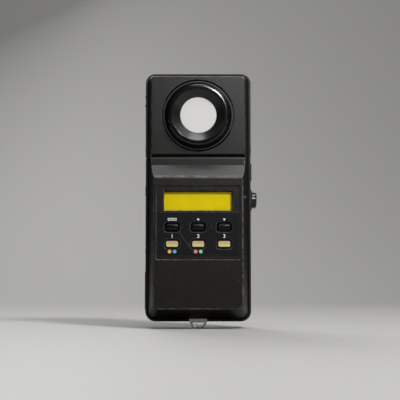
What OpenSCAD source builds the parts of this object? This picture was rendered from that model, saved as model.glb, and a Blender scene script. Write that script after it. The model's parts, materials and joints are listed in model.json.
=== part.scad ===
/* [Case] */
// Width of the lower case over its rim
case_w = 72.6; // [70:0.2:80]
// Height of the lower case from its base to the joint with the head
body_h = 112.4; // [110:0.5:124]
// Height of the head block
head_h = 58.8; // [57:0.2:64]
// Gap between the head and the lower case
joint_gap = 0.4; // [0.3:0.05:0.8]
// How much wider the head is than the lower case
head_extra = 0.3; // [0:0.1:1.6]
// Depth of the lower case in front of the parting line
front_d = 17; // [16.5:0.5:20]
// Depth of the neck and the head in front of the parting line
neck_d = 10.4; // [10:0.2:12]
// Depth of the case behind the parting line
rear_d = 14.5; // [14.5:0.5:18]
// Inward lean of the side walls for each millimetre of depth
side_draft = 0.26; // [0.16:0.01:0.26]
// Inward lean of the base wall for each millimetre of depth
base_draft = 0.44; // [0.2:0.01:0.46]
// Inward lean of the crown wall for each millimetre of depth
crown_draft = 0.17; // [0.1:0.01:0.3]
// Height of the plain neck below the joint
neck_h = 5.8; // [5:0.2:8]
// Height of the sloped facet below the neck
slope_h = 8.7; // [8:0.1:9.4]
// Rounding between the sloped facet and the front face
brow_r = 3.5; // [2:0.5:4]
// Corner radius of the rim at the base
base_r = 7; // [6:0.1:9]
// Corner radius of the rim at the crown
crown_r = 6.5; // [5:0.1:8]
// Rounding between the front faces and the side walls
front_r = 1.3; // [0.8:0.1:1.8]
// Rounding of the back edges
back_r = 3; // [2:0.1:4]
// Wall of the front shells at the sides
side_wall = 1.8; // [1.5:0.1:2]
// Wall of the lower case behind its front face
face_wall = 2.2; // [2:0.1:2.6]
// Wall of the rear shells
rear_wall = 2; // [1.8:0.1:2.4]
// Width of the rim that frames the front shells
rim_t = 1.05; // [0.8:0.05:1.3]
// How far the rim stands forward of the parting line
rim_h = 0.8; // [0.5:0.1:1.2]
// Dark gap between the rim and the front shells
rim_gap = 0.35; // [0.2:0.05:0.5]
// Height of the chamfer under the head's face
head_chamfer = 1.7; // [1:0.1:2.4]
// Height of the step in the neck's upper edge
neck_step = 1.3; // [0.9:0.1:1.4]
// Depth of the step in the neck's upper edge
neck_step_d = 0.9; // [0.5:0.1:1]

/* [Receptor] */
// How far the receptor's axis lies below the middle of the head's face
receptor_drop = 0.5; // [0:0.1:0.7]
// Radius of the round opening in the head's face
face_hole_r = 25; // [24.6:0.1:25.2]
// Thin round gap between the face and the mount ring
groove = 0.6; // [0.3:0.05:0.8]
// Radius of the bezel where it meets the mount ring
bezel_foot_r = 23; // [22.6:0.1:23.4]
// Outer radius of the bezel's flat front
bezel_front_r = 20.3; // [19.6:0.1:21]
// Inner radius of the bezel
bezel_bore_r = 17.8; // [17:0.1:18.4]
// How far the bezel stands proud of the face
bezel_h = 5; // [4.8:0.1:6.5]
// Radius of the opening of the inner cone around the diffuser
cone_r = 12.6; // [11.8:0.1:13]
// Height of the diffuser's face above the head's face
diffuser_rise = 1; // [0.4:0.1:1.2]
// Thickness of the diffuser's flange
diffuser_t = 1.1; // [0.8:0.1:1.3]
// Inner radius of the light tube
tube_r = 10.2; // [9:0.1:10.6]
// Distance of each photocell from the axis
cell_pitch_r = 6.2; // [5.6:0.1:6.6]
// Radius of the filters and photocells
cell_r = 3.1; // [2.6:0.1:3.3]

/* [Panel] */
// Distance from the side of the case to the sunk panel
panel_side = 8.1; // [8:0.1:9]
// Height of the sunk panel
panel_h = 49.8; // [49.2:0.1:50.6]
// Depth of the sunk panel
panel_d = 0.8; // [0.5:0.1:1]
// Distance from the foot of the sloped facet down to the panel
panel_drop = 5.9; // [5.2:0.1:6.8]
// Width of the chamfer around the panel's mouth
panel_mouth = 0.4; // [0.2:0.1:0.6]
// Distance from the side of the panel to the display opening
window_side = 5; // [5:0.1:7]
// Height of the display opening
window_h = 13.5; // [11.5:0.1:13.8]
// Distance from the panel's upper edge down to the display opening
window_drop = 3.2; // [2.8:0.1:3.6]
// Distance from the side of the panel to the key plate
plate_side = 0.7; // [0.3:0.1:1]
// Height of the key plate
plate_h = 29.4; // [29:0.1:29.8]
// Thickness of the key plate
plate_t = 0.6; // [0.4:0.1:0.8]
// Distance from the panel's lower edge up to the key plate
plate_lift = 2.4; // [2:0.1:2.6]
// Distance between the key columns
key_pitch_x = 17.6; // [17:0.1:17.8]
// Distance between the key rows
key_pitch_z = 11.4; // [11:0.1:12]
// Height of the lower key row above the panel's lower edge
key_row_z = 10.4; // [10:0.1:11]
// Width of a key
key_w = 7.8; // [7:0.1:8.4]
// Height of a key
key_h = 3.9; // [3.4:0.1:4.4]
// Gap between a key and the edge of its opening
key_gap = 0.95; // [0.5:0.05:1.1]
// How far the keys stand proud of the plate
key_rise = 0.6; // [0.4:0.1:1]
// Travel of a key
key_travel = 0.8; // [0.5:0.1:1]

/* [Side controls] */
// Distance of the side controls behind the parting line
side_y = 6.25; // [6.2:0.05:6.3]
// Distance of the measuring button's axis below the joint
button_drop = 28.7; // [28.4:0.1:30.4]
// Radius of the measuring button
button_r = 5.5; // [4.8:0.05:5.5]
// How far the measuring button stands out of the rim
button_out = 4.2; // [3.4:0.1:5]
// Travel of the measuring button
button_travel = 1.5; // [1:0.1:1.8]
// Outer radius of the collar around the measuring button
collar_r = 7.9; // [7.6:0.1:8.4]
// Height of the collar
collar_h = 1.1; // [0.9:0.05:1.4]
// Distance of the power slider's middle below the joint
slider_drop = 9.4; // [9:0.1:9.5]
// Height of the power slider
slider_h = 12; // [11:0.1:12]
// Travel of the power slider
slider_travel = 3; // [2:0.1:3.2]

/* [Battery] */
// Radius of the round cell
cell_body_r = 7.1; // [6.9:0.05:7.25]
// Length of the round cell with its button
cell_body_l = 50.4; // [48:0.1:50.6]
// Height of the cell's axis above the case base
cell_z = 21; // [20.8:0.1:21.4]
// Lower edge of the battery cover above the case base
cover_z0 = 8.3; // [8.1:0.1:9]
// Upper edge of the battery cover above the case base
cover_z1 = 33.7; // [33.5:0.1:34.5]
// How far the battery cover slides before it lifts off
cover_travel = 6; // [4:0.5:6]

/* [Fittings] */
// Height of the strap lug below the case
lug_h = 4.6; // [4:0.1:6]
// Thickness of the strap lug
lug_t = 1.4; // [1:0.1:1.6]
// Half width of the strap lug where it leaves the case
lug_half = 6.2; // [5.6:0.1:7]
// Half width of the strap lug at its foot
lug_foot = 3.9; // [3.6:0.1:4.4]
// Radius of the tripod screw's bore
tripod_bore_r = 2.55; // [2.5:0.01:2.6]
// Depth of the tripod screw's bore
tripod_depth = 7; // [5:0.1:7]
// Height of the tripod socket above the case base
tripod_z = 57.4; // [55:0.1:60]
// Distance that the head lifts before its plug is free
head_lift = 10; // [6:0.5:10]

/* [Hidden] */
$fn = 64;

// Thickness of the slices that a lofted form is stretched over, and overlap of cutting tools
slice_t = 0.02;
over = 1;
arc_steps = 8;
round_steps = 4;
fit = 0.1;
corner_r = 0.4;
slide_gap = 0.3;

// Colours
case_black = "#201f1e";
gloss_black = "#101112";
metal = "#b9bab8";
brass = "#c2a65a";
board_green = "#2f5b3a";

// Levels of the case, upwards from the foot of the strap lug
base_z = lug_h;
body_top = base_z + body_h;
head_base = body_top + joint_gap;
crown_z = head_base + head_h;
slope_top = body_top - neck_h;
slope_foot = slope_top - slope_h;

// Half widths of the two blocks over their rims, and how far a front shell lies inside its rim
body_half = case_w / 2;
head_half = body_half + head_extra / 2;
front_inset = rim_t + rim_gap;
back_inner = rear_d - rear_wall;
ledge = rear_wall + 0.2;
neck_r = 0.7 * front_r;
neck_overlap = 5;
rim_edge = 0.25;
back_lean = 0.02;

// Corner radii of the front shells, and how much smaller they are halfway up and at the front face
head_corner_r = 0.7;
inner_corner_r = 2;
base_ease_mid = 1.2;
base_ease_front = 1.9;
crown_ease_mid = 2;
crown_ease_front = 2.4;

// Receptor, centred on the head's face
face_foot_z = head_base + head_chamfer;
face_crown_z = crown_z - front_inset - crown_draft * neck_d;
receptor_z = (face_foot_z + face_crown_z) / 2 - receptor_drop;
ring_r = face_hole_r - groove;
head_wall = side_wall;
ring_back_d = 1.4;
ring_back = neck_d - head_wall - ring_back_d;
ring_flat = ring_r - 0.1;
ring_lug_out = 3;
lug_ring_r = ring_r + ring_lug_out;
diffuser_flange_r = 14.4;
diffuser_front = neck_d + diffuser_rise;
flange_front = diffuser_front - 1.4;
flange_back = flange_front - diffuser_t;
tube_wall = 1.3;
ring_seat = 1;
ring_lug = 2;
ring_lug_half = 11;
ring_screw_out = 1.6;
ring_screw_at = ring_r + ring_screw_out;
ring_screw_turn = 16;
ring_screw_end = 0.7;
bezel_skirt = 0.5;
bezel_edge = 0.3;
bezel_lip = 0.2;
diffuser_edge = 0.4;
nick_w = 2.4;
nick_d = 0.8;
nick_turn = 17;
cone_sink = 0.2;
retainer_lap = 2.2;
holder_lip = 2;
filter_sink = 0.2;
filter_t = 1.2;
retainer_back = ring_back - 1.4;
holder_front = -0.6;
holder_back = -5.6;
holder_r = tube_r + tube_wall + 1.6;
board_t = 1.6;
sensor_front = holder_back;
sensor_back = holder_back - board_t;

// Panel, display and keys
panel_half = body_half - panel_side;
window_w = 2 * (panel_half - window_side);
plate_half = panel_half - plate_side;
panel_top = slope_foot - panel_drop;
panel_foot = panel_top - panel_h;
panel_level = front_d - panel_d;
plate_z0 = panel_foot + plate_lift;
plate_z1 = plate_z0 + plate_h;
plate_seat = panel_level - 0.5;
plate_level = plate_seat + plate_t;
face_inner = front_d - face_wall;
window_z1 = panel_top - window_drop;
window_z0 = window_z1 - window_h;
window_t = 0.8;
lcd_margin = 1.3;
lcd_lap = 2.4;
lcd_half = window_w / 2 + lcd_margin;
lcd_z0 = window_z0 - lcd_lap;
lcd_z1 = window_z1 + lcd_lap;
lcd_front = face_inner - window_t - 0.1;
lcd_t = 2.3;
lcd_back = lcd_front - lcd_t;
reflector_t = 0.5;
lcd_strip_t = 1.8;
lcd_strip_edge = 0.2;
window_edge = 0.6;
window_mouth = 0.5;
plate_lip = 0.3;
plate_lip_d = 0.15;
frame_gap = 0.1;
frame_wall = 1;
frame_half = lcd_half + frame_gap + frame_wall;
frame_z0 = lcd_z0 - frame_gap - frame_wall;
frame_z1 = lcd_z1 + frame_gap + frame_wall;
board_depth = 6.2;
board_front = face_inner - board_depth;
board_back = board_front - board_t;
board_half = frame_half;
mat_t = 1;
mat_side = 1;
mat_low = 5.6;
mat_high = 5.4;
mat_front = board_front + mat_t;
key_top = plate_level + key_rise;
key_flange = 1.9;
key_flange_t = 1.1;
key_stem_x = 2.2;
key_stem_z = 1.6;
cap_r = 0.9;
key_edge = 0.25;
crown_key_r = 4.6;
dish_r = 8;
dish_d = 0.3;
key_flange_front = face_inner - slide_gap;
dome_clear = 0.1;
dome_h = 1.1;
dome_r0 = 3.6;
dome_r1 = 2.4;
dome_front = mat_front + dome_h;
key_foot = dome_front + dome_clear + key_travel;
key_low_z = panel_foot + key_row_z;
key_high_z = key_low_z + key_pitch_z;

// Screw posts of the case and of the boards
post_r = 2.5;
screw_r = 1;
rear_post_r = 3.3;
case_post_side = 7.9;
case_post_rise = 10.3;
case_post_drop = 18.6;
case_post_x = body_half - case_post_side;
case_post_high = body_top - case_post_drop;
head_post_side = 7.6;
head_post_rise = 6.6;
head_post_drop = 9.6;
head_post_x = head_half - head_post_side;
head_post_low = head_base + head_post_rise;
head_post_high = crown_z - head_post_drop;
board_post_step = 5.6;
board_post_fall = 2.4;
board_edge = 3;
board_post_x = case_post_x - board_post_step;
board_post_low = panel_foot - board_post_fall;
board_post_high = frame_z1 + post_r + slide_gap;
board_z0 = board_post_low - board_edge;
board_z1 = board_post_high + post_r + fit;
sensor_side = 12.5;
sensor_rise = 3.8;
sensor_drop = 9.6;
sensor_edge = 4;
sensor_half = head_half - sensor_side;
sensor_z0 = head_base + sensor_rise;
sensor_z1 = crown_z - sensor_drop;
sensor_post_x = sensor_half - sensor_edge;
sensor_post_low = sensor_z0 + sensor_edge;
sensor_post_high = sensor_z1 - sensor_edge;
shank_clear = 0.3;
shank_r = 1.4;
shank_gap = 0.3;
head_bore_r = 3;
head_bore_d = 3;
back_head_r = 2.6;
back_head_t = 1.8;
board_head_r = 1.9;
board_head_t = 1.3;
board_screw_end = 1;
screw_end_gap = 0.4;
post_room = 1.2;
ring_screw_r = 0.75;
ring_head_r = 1.3;
ring_head_t = 1;
case_screw_reach = 10;
head_screw_reach = 7;
cross_w = 0.6;
cross_d = 0.8;
cross_share = 0.62;

// Stiffening ribs behind the plain lower part of the front face
rib_t = 0.9;
rib_h = 1.6;
rib_pitch_z = 9;
rib_pitch_x = 15;
rib_rows = 3;
rib_foot = 14;

// Plug and socket between the head and the lower case
joint_wall = 2;
plug_half = 13;
plug_flange = 2;
plug_flange_d = 1;
plug_y = 5.5;
plug_w = 7;
plug_clear = 0.6;
plug_reach = head_lift - plug_clear;
plug_foot = head_base - plug_reach;
socket_gap = 0.4;
socket_wall = 2;
socket_h = 12;
socket_base_t = 2.5;
socket_foot = body_top - joint_wall - socket_h;
socket_floor = socket_foot + socket_base_t;
pin_count = 8;
pin_pitch = 2.8;
pin_r = 0.45;
pin_l = 4;
pin_gap = 0.2;
pin_foot = plug_foot - pin_l;
contact_half = 0.6;
contact_drop = 1.2;
contact_d = 0.8;
strip_t = 0.5;
peg_x = 25;
peg_r = 1.5;
peg_l = 2.2;

// Side controls
button_cz = body_top - button_drop;
slider_cz = body_top - slider_drop;
button_gap = 0.25;
button_flange_x = body_half - rear_wall - slide_gap;
button_flange_t = 1.2;
button_flange = 0.45;
button_stem_r = 2;
button_stem_l = 1.3;
button_edge = 0.8;
button_foot_x = button_flange_x - button_flange_t - button_stem_l;
collar_step = 0.4;
collar_rim = 0.65;
slider_recess = 0.6;
slider_out = 0.9;
slider_depth = 7;
slider_bevel = 0.7;
slider_rib_pitch = 1.8;
slider_rib_gap = 0.8;
slider_rib_d = 0.4;
slider_stem_z = 2.5;
slider_stem_y = 1.6;
slider_stem_l = 2.6;
slider_stem_cz = slider_cz + 1;
slider_foot_x = body_half - rear_wall - slider_stem_l;
switch_l = 5;
switch_half = 3.5;
switch_nub_r = 1.5;
power_l = 6;
power_front = 4;
power_edge = 1;
switch_gap = 0.2;
switch_nub_l = 1;
slider_lift = 0.15;

// Battery bay and cover
cell_cz = base_z + cell_z;
cell_back_gap = 0.8;
cell_y = back_inner - cell_body_r - cell_back_gap;
bay_wall = 1.2;
bay_gap = 0.3;
bay_room = 2.8;
bay_end = cell_body_l / 2 + bay_room;
bay_half_h = cell_body_r + bay_gap;
cover_z0_abs = base_z + cover_z0;
cover_z1_abs = base_z + cover_z1;
case_post_low = cell_cz + bay_half_h + bay_wall + case_post_rise;
cover_proud = 0.25;
cover_side_proud = 0.5;
cover_lap = 0.6;
cover_right = bay_end + bay_wall - cover_lap;
cover_front_y = 1.8;
cover_gap = 0.3;
tongue_reach = 1.4;
tongue_t = 1;
tongue_root = 1.6;
tongue_short = 2;
tongue_left = body_half - rear_wall - cover_travel - 1;
grip_count = 5;
grip_pitch = 2.4;
grip_edge = 8;
grip_w = 1;
grip_d = 0.5;
grip_half = 7;
mark_x = 10;
mark_l = 4.5;
mark_half = 3;
mark_d = 0.3;
cell_nub_r = 2.7;
cell_nub_l = 1.4;
contact_gap = 0.1;
contact_half_y = 4;
contact_half_z = 5;
wire_r = 0.35;
spring_r0 = 5.2;
spring_r1 = 3.3;
spring_turns = 2.5;

// Pads and ribs on the sides: the side, the height of the middle, the height and how far they stand out
body_pads = [[-1, 90.1, 6.9, 0.35], [-1, 53.7, 2.7, 0.2], [-1, 48.5, 3.5, 0.25]];
head_pads = [[-1, 43.2, 1.4, 0.45], [-1, 37.1, 1.4, 0.45], [-1, 6.05, 2.7, 0.25], [1, 6.05, 2.7, 0.25]];
pad_back = 4.5;
pad_front = 2;

// Tripod socket and its boss
tripod_body_r = 4.75;
tripod_body_l = 8;
tripod_flange_r = 5.9;
tripod_flange_t = 1;
tripod_boss_r = 7;
tripod_boss_h = 9.4;

// Parts on the two boards: middle in X, height of the foot above the board's lower edge, width, height
sensor_chip_t = 1.8;
sensor_chip_places = [[-9, 4, 10, 7], [9, 4, 10, 7], [0, 22, 16, 8]];
board_chip_t = 2.4;
board_chip_places = [[-6, 24, 26, 13], [12, 11, 9, 6], [-14, 9, 12, 6], [14, 47, 10, 6]];

// Strap lug
lug_slot_h = 12;
lug_bar = 1.3;
lug_taper = 0.6;
lug_slot_top = 0.8;
lug_shoulder = 2.3;
lug_head_half = lug_half + lug_shoulder;
lug_head_h = 2.2;

// Points of a quarter circle, counted anticlockwise from the angle start
function quarter(cx, cz, r, start) =
  [for (i = [0 : arc_steps])
    [cx + r * cos(start + 90 * i / arc_steps), cz + r * sin(start + 90 * i / arc_steps)]];

// Outline of an upright plate with lower corners of radius r0 and upper corners of radius r1
function outline(half_w, z0, z1, r0, r1) = concat(
  quarter(half_w - r0, z0 + r0, r0, 270),
  quarter(half_w - r1, z1 - r1, r1, 0),
  quarter(-half_w + r1, z1 - r1, r1, 90),
  quarter(-half_w + r0, z0 + r0, r0, 180));

// Front shells: half width, foot and slope at the depth h in front of the parting line
function front_half(half_w, h) = half_w - front_inset - side_draft * h;
function front_foot(h) = base_z + front_inset + base_draft * h;
function front_crown(h) = crown_z - front_inset - crown_draft * h;
function slope_at(h) = slope_top - (h - neck_d) * slope_h / (front_d - neck_d);

// Upper edge of the front block: the slope, then an arc that runs into the front face
slope_lean = atan((front_d - neck_d) / slope_h);
brow_start = front_d - brow_r * (1 - cos(slope_lean));
brow_z = slope_at(brow_start) - brow_r * sin(slope_lean);
function slope_edge(h) =
  h <= brow_start ? slope_at(h) : brow_z + sqrt(pow(brow_r, 2) - pow(h - front_d + brow_r, 2));

// Depth and inset of the slices around a rounded edge of radius r that ends at the depth h
function rounding(h, r) =
  [for (i = [0 : round_steps])
    [h - r + r * sin(90 * i / round_steps), r * (1 - cos(90 * i / round_steps))]];

// An upright shape in X and Z, made solid from the depth h0 to the depth h1 in front of the parting line
module slab(h0, h1) {
  translate([0, -h0, 0]) rotate([90, 0, 0]) linear_extrude(h1 - h0) children();
}

// A thin slice whose face lies at the depth h
module slice(h) {
  slab(h - slice_t, h) children();
}

// A box given by its limits: x, depth in front of the parting line, z
module block(x0, x1, h0, h1, z0, z1) {
  translate([x0, -h1, z0]) cube([x1 - x0, h1 - h0, z1 - z0]);
}

// A round bar from back to front
module rod(x, z, r, h0, h1) {
  translate([x, -h0, z]) rotate([90, 0, 0]) cylinder(r = r, h = h1 - h0);
}

// A round bar along X, y counted backwards from the parting line
module side_rod(y, z, r0, r1, x0, x1) {
  translate([x0, y, z]) rotate([0, 90, 0]) cylinder(r1 = r0, r2 = r1, h = x1 - x0);
}

// A profile in radius and depth, turned about the receptor's axis
module turned() {
  translate([0, 0, receptor_z]) rotate([90, 0, 0]) rotate_extrude() children();
}

// Copies at both sides of the middle plane
module both_sides(x) {
  for (side = [-1, 1]) translate([side * x, 0, 0]) children();
}

// Lower case: the block in front of the parting line, with the slope as its upper face
module lower_front_form() {
  hull() {
    slice(slice_t) polygon(outline(front_half(body_half, 0), front_foot(0), slope_top,
                                   base_r - front_inset, corner_r));
    slice(neck_d) polygon(outline(front_half(body_half, neck_d), front_foot(neck_d), slope_top,
                                  base_r - front_inset - base_ease_mid, corner_r));
    for (s = rounding(front_d, front_r))
      slice(s[0]) polygon(outline(front_half(body_half, s[0]) - s[1], front_foot(s[0]) + s[1],
                                  slope_edge(s[0]), base_r - front_inset - base_ease_front, corner_r));
  }
}

// Neck: the thinner block above the slope
module neck_front_form() {
  hull() {
    slice(slice_t) polygon(outline(front_half(body_half, 0), slope_foot, body_top, corner_r, corner_r));
    for (s = rounding(neck_d, neck_r))
      slice(s[0]) polygon(outline(front_half(body_half, s[0]) - s[1], slope_foot, body_top,
                                  corner_r, corner_r));
  }
}

module lower_front_cavity() {
  hull() {
    slice(-over + slice_t) polygon(outline(front_half(body_half, 0) - side_wall, front_foot(0) + side_wall,
                                           slope_top - face_wall,
                                           base_r - front_inset - side_wall, corner_r));
    slice(neck_d - head_wall)
      polygon(outline(front_half(body_half, neck_d - head_wall) - side_wall,
                      front_foot(neck_d - head_wall) + side_wall, slope_top - face_wall,
                      2 * inner_corner_r, corner_r));
    slice(face_inner) polygon(outline(front_half(body_half, face_inner) - side_wall,
                                      front_foot(face_inner) + side_wall,
                                      slope_at(face_inner) - face_wall - corner_r, inner_corner_r,
                                      corner_r));
  }
}

module neck_front_cavity() {
  hull() {
    slice(-over + slice_t) polygon(outline(front_half(body_half, 0) - side_wall, slope_foot - neck_overlap,
                                           body_top - joint_wall, corner_r, corner_r));
    slice(neck_d - head_wall) polygon(outline(front_half(body_half, neck_d - head_wall) - side_wall,
                                              slope_foot - neck_overlap, body_top - joint_wall,
                                              corner_r, corner_r));
  }
}

// Rounded opening of a key, grown by g all round
module key_hole(x, z, g, h0, h1) {
  slab(h0, h1) translate([x, z]) polygon(outline(key_w / 2 + g, -key_h / 2 - g, key_h / 2 + g,
                                                 1 + g, 1 + g));
}

// Chamfer of the width c around an opening whose mouth lies at the depth h
module mouth(half_w, z0, z1, h, c) {
  hull() {
    slice(h - c + slice_t) polygon(outline(half_w, z0, z1, corner_r, corner_r));
    slice(h + slice_t) polygon(outline(half_w + c, z0 - c, z1 + c, corner_r + c, corner_r + c));
  }
}

// Ribs that stiffen the plain lower part of the front face from behind
module front_ribs() {
  z_first = base_z + rib_foot;
  z_last = z_first + (rib_rows - 1) * rib_pitch_z;
  half = front_half(body_half, face_inner - rib_h) - side_wall / 2;
  for (i = [0 : rib_rows - 1])
    block(-half, half, face_inner - rib_h, face_inner + slice_t,
          z_first + i * rib_pitch_z - rib_t / 2, z_first + i * rib_pitch_z + rib_t / 2);
  both_sides(rib_pitch_x)
    block(-rib_t / 2, rib_t / 2, face_inner - rib_h, face_inner + slice_t, z_first, z_last);
}

module front_cover() {
  color(case_black) difference() {
    union() {
      difference() {
        union() {
          lower_front_form();
          neck_front_form();
        }
        lower_front_cavity();
        neck_front_cavity();
      }
      for (z = [case_post_low, case_post_high])
        both_sides(case_post_x) rod(0, z, post_r, 0, face_inner + slice_t);
      for (z = [board_post_low, board_post_high])
        both_sides(board_post_x) rod(0, z, post_r, board_front, face_inner + slice_t);
      front_ribs();
    }
    for (z = [case_post_low, case_post_high])
      both_sides(case_post_x) rod(0, z, screw_r + fit, -over, case_screw_reach + fit);
    for (z = [board_post_low, board_post_high])
      both_sides(board_post_x)
        rod(0, z, screw_r + fit, board_front - over, face_inner - board_screw_end + fit);
    slab(panel_level, front_d + over) polygon(outline(panel_half, panel_foot, panel_top,
                                                      corner_r, corner_r));
    mouth(panel_half, panel_foot, panel_top, front_d, panel_mouth);
    slab(plate_seat, front_d + over) polygon(outline(plate_half, plate_z0, plate_z1, corner_r, corner_r));
    block(-window_w / 2, window_w / 2, face_inner - over, front_d + over, window_z0, window_z1);
    mouth(window_w / 2, window_z0, window_z1, panel_level, window_mouth);
    for (x = [-key_pitch_x, 0, key_pitch_x])
      for (z = [key_low_z, key_high_z])
        key_hole(x, z, key_gap + slide_gap, face_inner - over, front_d + over);
    block(-body_half, body_half, neck_d - neck_step_d, neck_d + over, body_top - neck_step,
          body_top + over);
    block(-lug_half - fit, lug_half + fit, -over, lug_t / 2 + fit, base_z - over, base_z + lug_slot_h);
  }
}

// Rear shells: a block with a rim that stands forward of the parting line and rounded back edges.
// The inset of the back edges is left out at the foot or the crown where sink0 or sink1 is 0.
// It can be made larger by side_grow at the sides and by grow at the back.
module rear_form(half_w, z0, z1, r0, r1, sink0, sink1, grow, side_grow) {
  steps = concat(
    [[rim_h, rim_edge], [rim_h - rim_edge, 0]],
    [for (s = rounding(rear_d + grow, back_r)) [-s[0] + slice_t, s[1] + back_lean * s[0]]]);
  hull() {
    for (s = steps)
      slice(s[0]) polygon(outline(half_w + side_grow - s[1], z0 - grow * sink0 + s[1] * sink0,
                                  z1 + grow * sink1 - s[1] * sink1,
                                  max(r0 - s[1] * sink0, corner_r), max(r1 - s[1] * sink1, corner_r)));
  }
}

module body_rear_form(grow, side_grow) {
  rear_form(body_half, base_z, body_top, base_r, corner_r, 1, 0, grow, side_grow);
}

// Region that the battery cover fills, grown by g: a plate at the back and a wall at the left
module cover_region(g) {
  z0 = cover_z0_abs - g;
  z1 = cover_z1_abs + g;
  block(-body_half - 2 * over, cover_right + g, -rear_d - over, -back_inner + g, z0, z1);
  block(-body_half - 2 * over, -body_half + ledge + g, -rear_d - over, -cover_front_y + g, z0, z1);
}

// Ribs and pads on the sides of a rear shell of the half width half_w whose foot lies at the height z0
module pads(list, half_w, z0) {
  for (p = list) {
    inner = p[0] * (half_w - over);
    outer = p[0] * (half_w + p[3]);
    block(min(inner, outer), max(inner, outer), -rear_d + pad_back, -pad_front,
          z0 + p[1] - p[2] / 2, z0 + p[1] + p[2] / 2);
  }
}

// Screw openings of a rear shell at one pair of posts
module back_bores(x, z) {
  both_sides(x) {
    rod(0, z, shank_r + shank_clear, -rear_d - over, over);
    rod(0, z, head_bore_r, -rear_d - over, -rear_d + head_bore_d);
  }
}

module rear_cover() {
  color(case_black) difference() {
    union() {
      difference() {
        union() {
          body_rear_form(0, 0);
          intersection() {
            union() {
              side_rod(side_y, button_cz, collar_r, collar_r, body_half - over, body_half + collar_step);
              side_rod(side_y, button_cz, collar_r, button_r + collar_rim,
                       body_half + collar_step - slice_t,
                       body_half + collar_h);
            }
            block(0, body_half + 2 * collar_h, -rear_d, rim_h, 0, body_top);
          }
          pads(body_pads, body_half, base_z);
        }
        slab(0, rim_h + over)
          polygon(outline(body_half - rim_t, base_z + rim_t, body_top + over, base_r - rim_t, corner_r));
        slab(-back_inner, over)
          polygon(outline(body_half - ledge, base_z + ledge, body_top - joint_wall,
                          base_r - ledge, corner_r));
      }
      for (z = [case_post_low, case_post_high])
        both_sides(case_post_x) rod(0, z, rear_post_r, -back_inner - slice_t, -slice_t);
      rod(0, base_z + tripod_z, tripod_boss_r, -back_inner - slice_t, -rear_d + tripod_boss_h);
      block(-bay_end - bay_wall, bay_end + bay_wall, -back_inner + cover_gap,
            -cell_y + cell_body_r + bay_gap + bay_wall, cell_cz - bay_half_h - bay_wall,
            cell_cz + bay_half_h + bay_wall);
      block(bay_end - slice_t, bay_end + bay_wall, -back_inner - slice_t, -cell_y,
            cell_cz - bay_half_h - bay_wall, cell_cz + bay_half_h + bay_wall);
    }
    // battery bay, open to the back
    translate([-bay_end, cell_y, cell_cz]) rotate([0, 90, 0]) cylinder(r = bay_half_h, h = 2 * bay_end);
    block(-bay_end, bay_end, -rear_d - over, -cell_y, cell_cz - bay_half_h, cell_cz + bay_half_h);
    cover_region(cover_gap);
    // screws
    for (z = [case_post_low, case_post_high]) back_bores(case_post_x, z);
    // tripod socket
    rod(0, base_z + tripod_z, tripod_body_r + fit, -rear_d - over, -rear_d + tripod_body_l + fit);
    rod(0, base_z + tripod_z, tripod_flange_r + fit, -rear_d - over, -rear_d + tripod_flange_t + fit);
    // plug opening and peg holes in the joint wall
    block(-plug_half - socket_gap, plug_half + socket_gap, -plug_y - plug_w / 2 - socket_gap,
          -plug_y + plug_w / 2 + socket_gap, body_top - joint_wall - over, body_top + over);
    both_sides(peg_x) translate([0, plug_y, body_top - joint_wall - over])
      cylinder(r = peg_r + slide_gap, h = joint_wall + 2 * over);
    // measuring button and power slider
    side_rod(side_y, button_cz, button_r + button_gap, button_r + button_gap,
             body_half - rear_wall - over, body_half + collar_h + over);
    block(body_half - slider_recess, body_half + over, -side_y - slider_depth / 2 - slide_gap,
          -side_y + slider_depth / 2 + slide_gap, slider_cz - slider_h / 2 - slider_travel - slide_gap,
          slider_cz + slider_h / 2 + slide_gap);
    block(body_half - rear_wall - over, body_half + over, -side_y - slider_stem_y - slide_gap,
          -side_y + slider_stem_y + slide_gap, slider_stem_cz - slider_stem_z - slider_travel - slide_gap,
          slider_stem_cz + slider_stem_z + slide_gap);
    // strap lug
    block(-lug_half - fit, lug_half + fit, -lug_t / 2 - fit, rim_h + over, base_z - over,
          base_z + ledge + over);
  }
}

// Guide of the battery cover: a strip that hangs inside the plate's edge and reaches under the case
module cover_tongue(edge, side) {
  z_in = edge - side * tongue_root;
  z_out = edge + side * tongue_reach;
  x1 = cover_right - tongue_short;
  inner = -back_inner + cover_gap;
  block(-tongue_left, x1, -back_inner - slice_t, inner + tongue_t, min(edge, z_in), max(edge, z_in));
  block(-tongue_left, x1, inner, inner + tongue_t, min(z_out, z_in), max(z_out, z_in));
}

module battery_cover() {
  color(case_black) difference() {
    union() {
      intersection() {
        difference() {
          body_rear_form(cover_proud, cover_side_proud);
          slab(-back_inner, rim_h + over)
            polygon(outline(body_half - rear_wall, base_z - over, body_top, corner_r, corner_r));
        }
        cover_region(0);
      }
      cover_tongue(cover_z0_abs, -1);
      cover_tongue(cover_z1_abs, 1);
    }
    for (i = [0 : grip_count - 1])
      block(-body_half + grip_edge + i * grip_pitch, -body_half + grip_edge + grip_w + i * grip_pitch,
            -rear_d - over, -rear_d + grip_d, cell_cz - grip_half, cell_cz + grip_half);
    slab(-rear_d - over, -rear_d + mark_d)
      polygon([[-mark_x, cell_cz - mark_half], [-mark_x, cell_cz + mark_half],
               [-mark_x - mark_l, cell_cz]]);
  }
}

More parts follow.
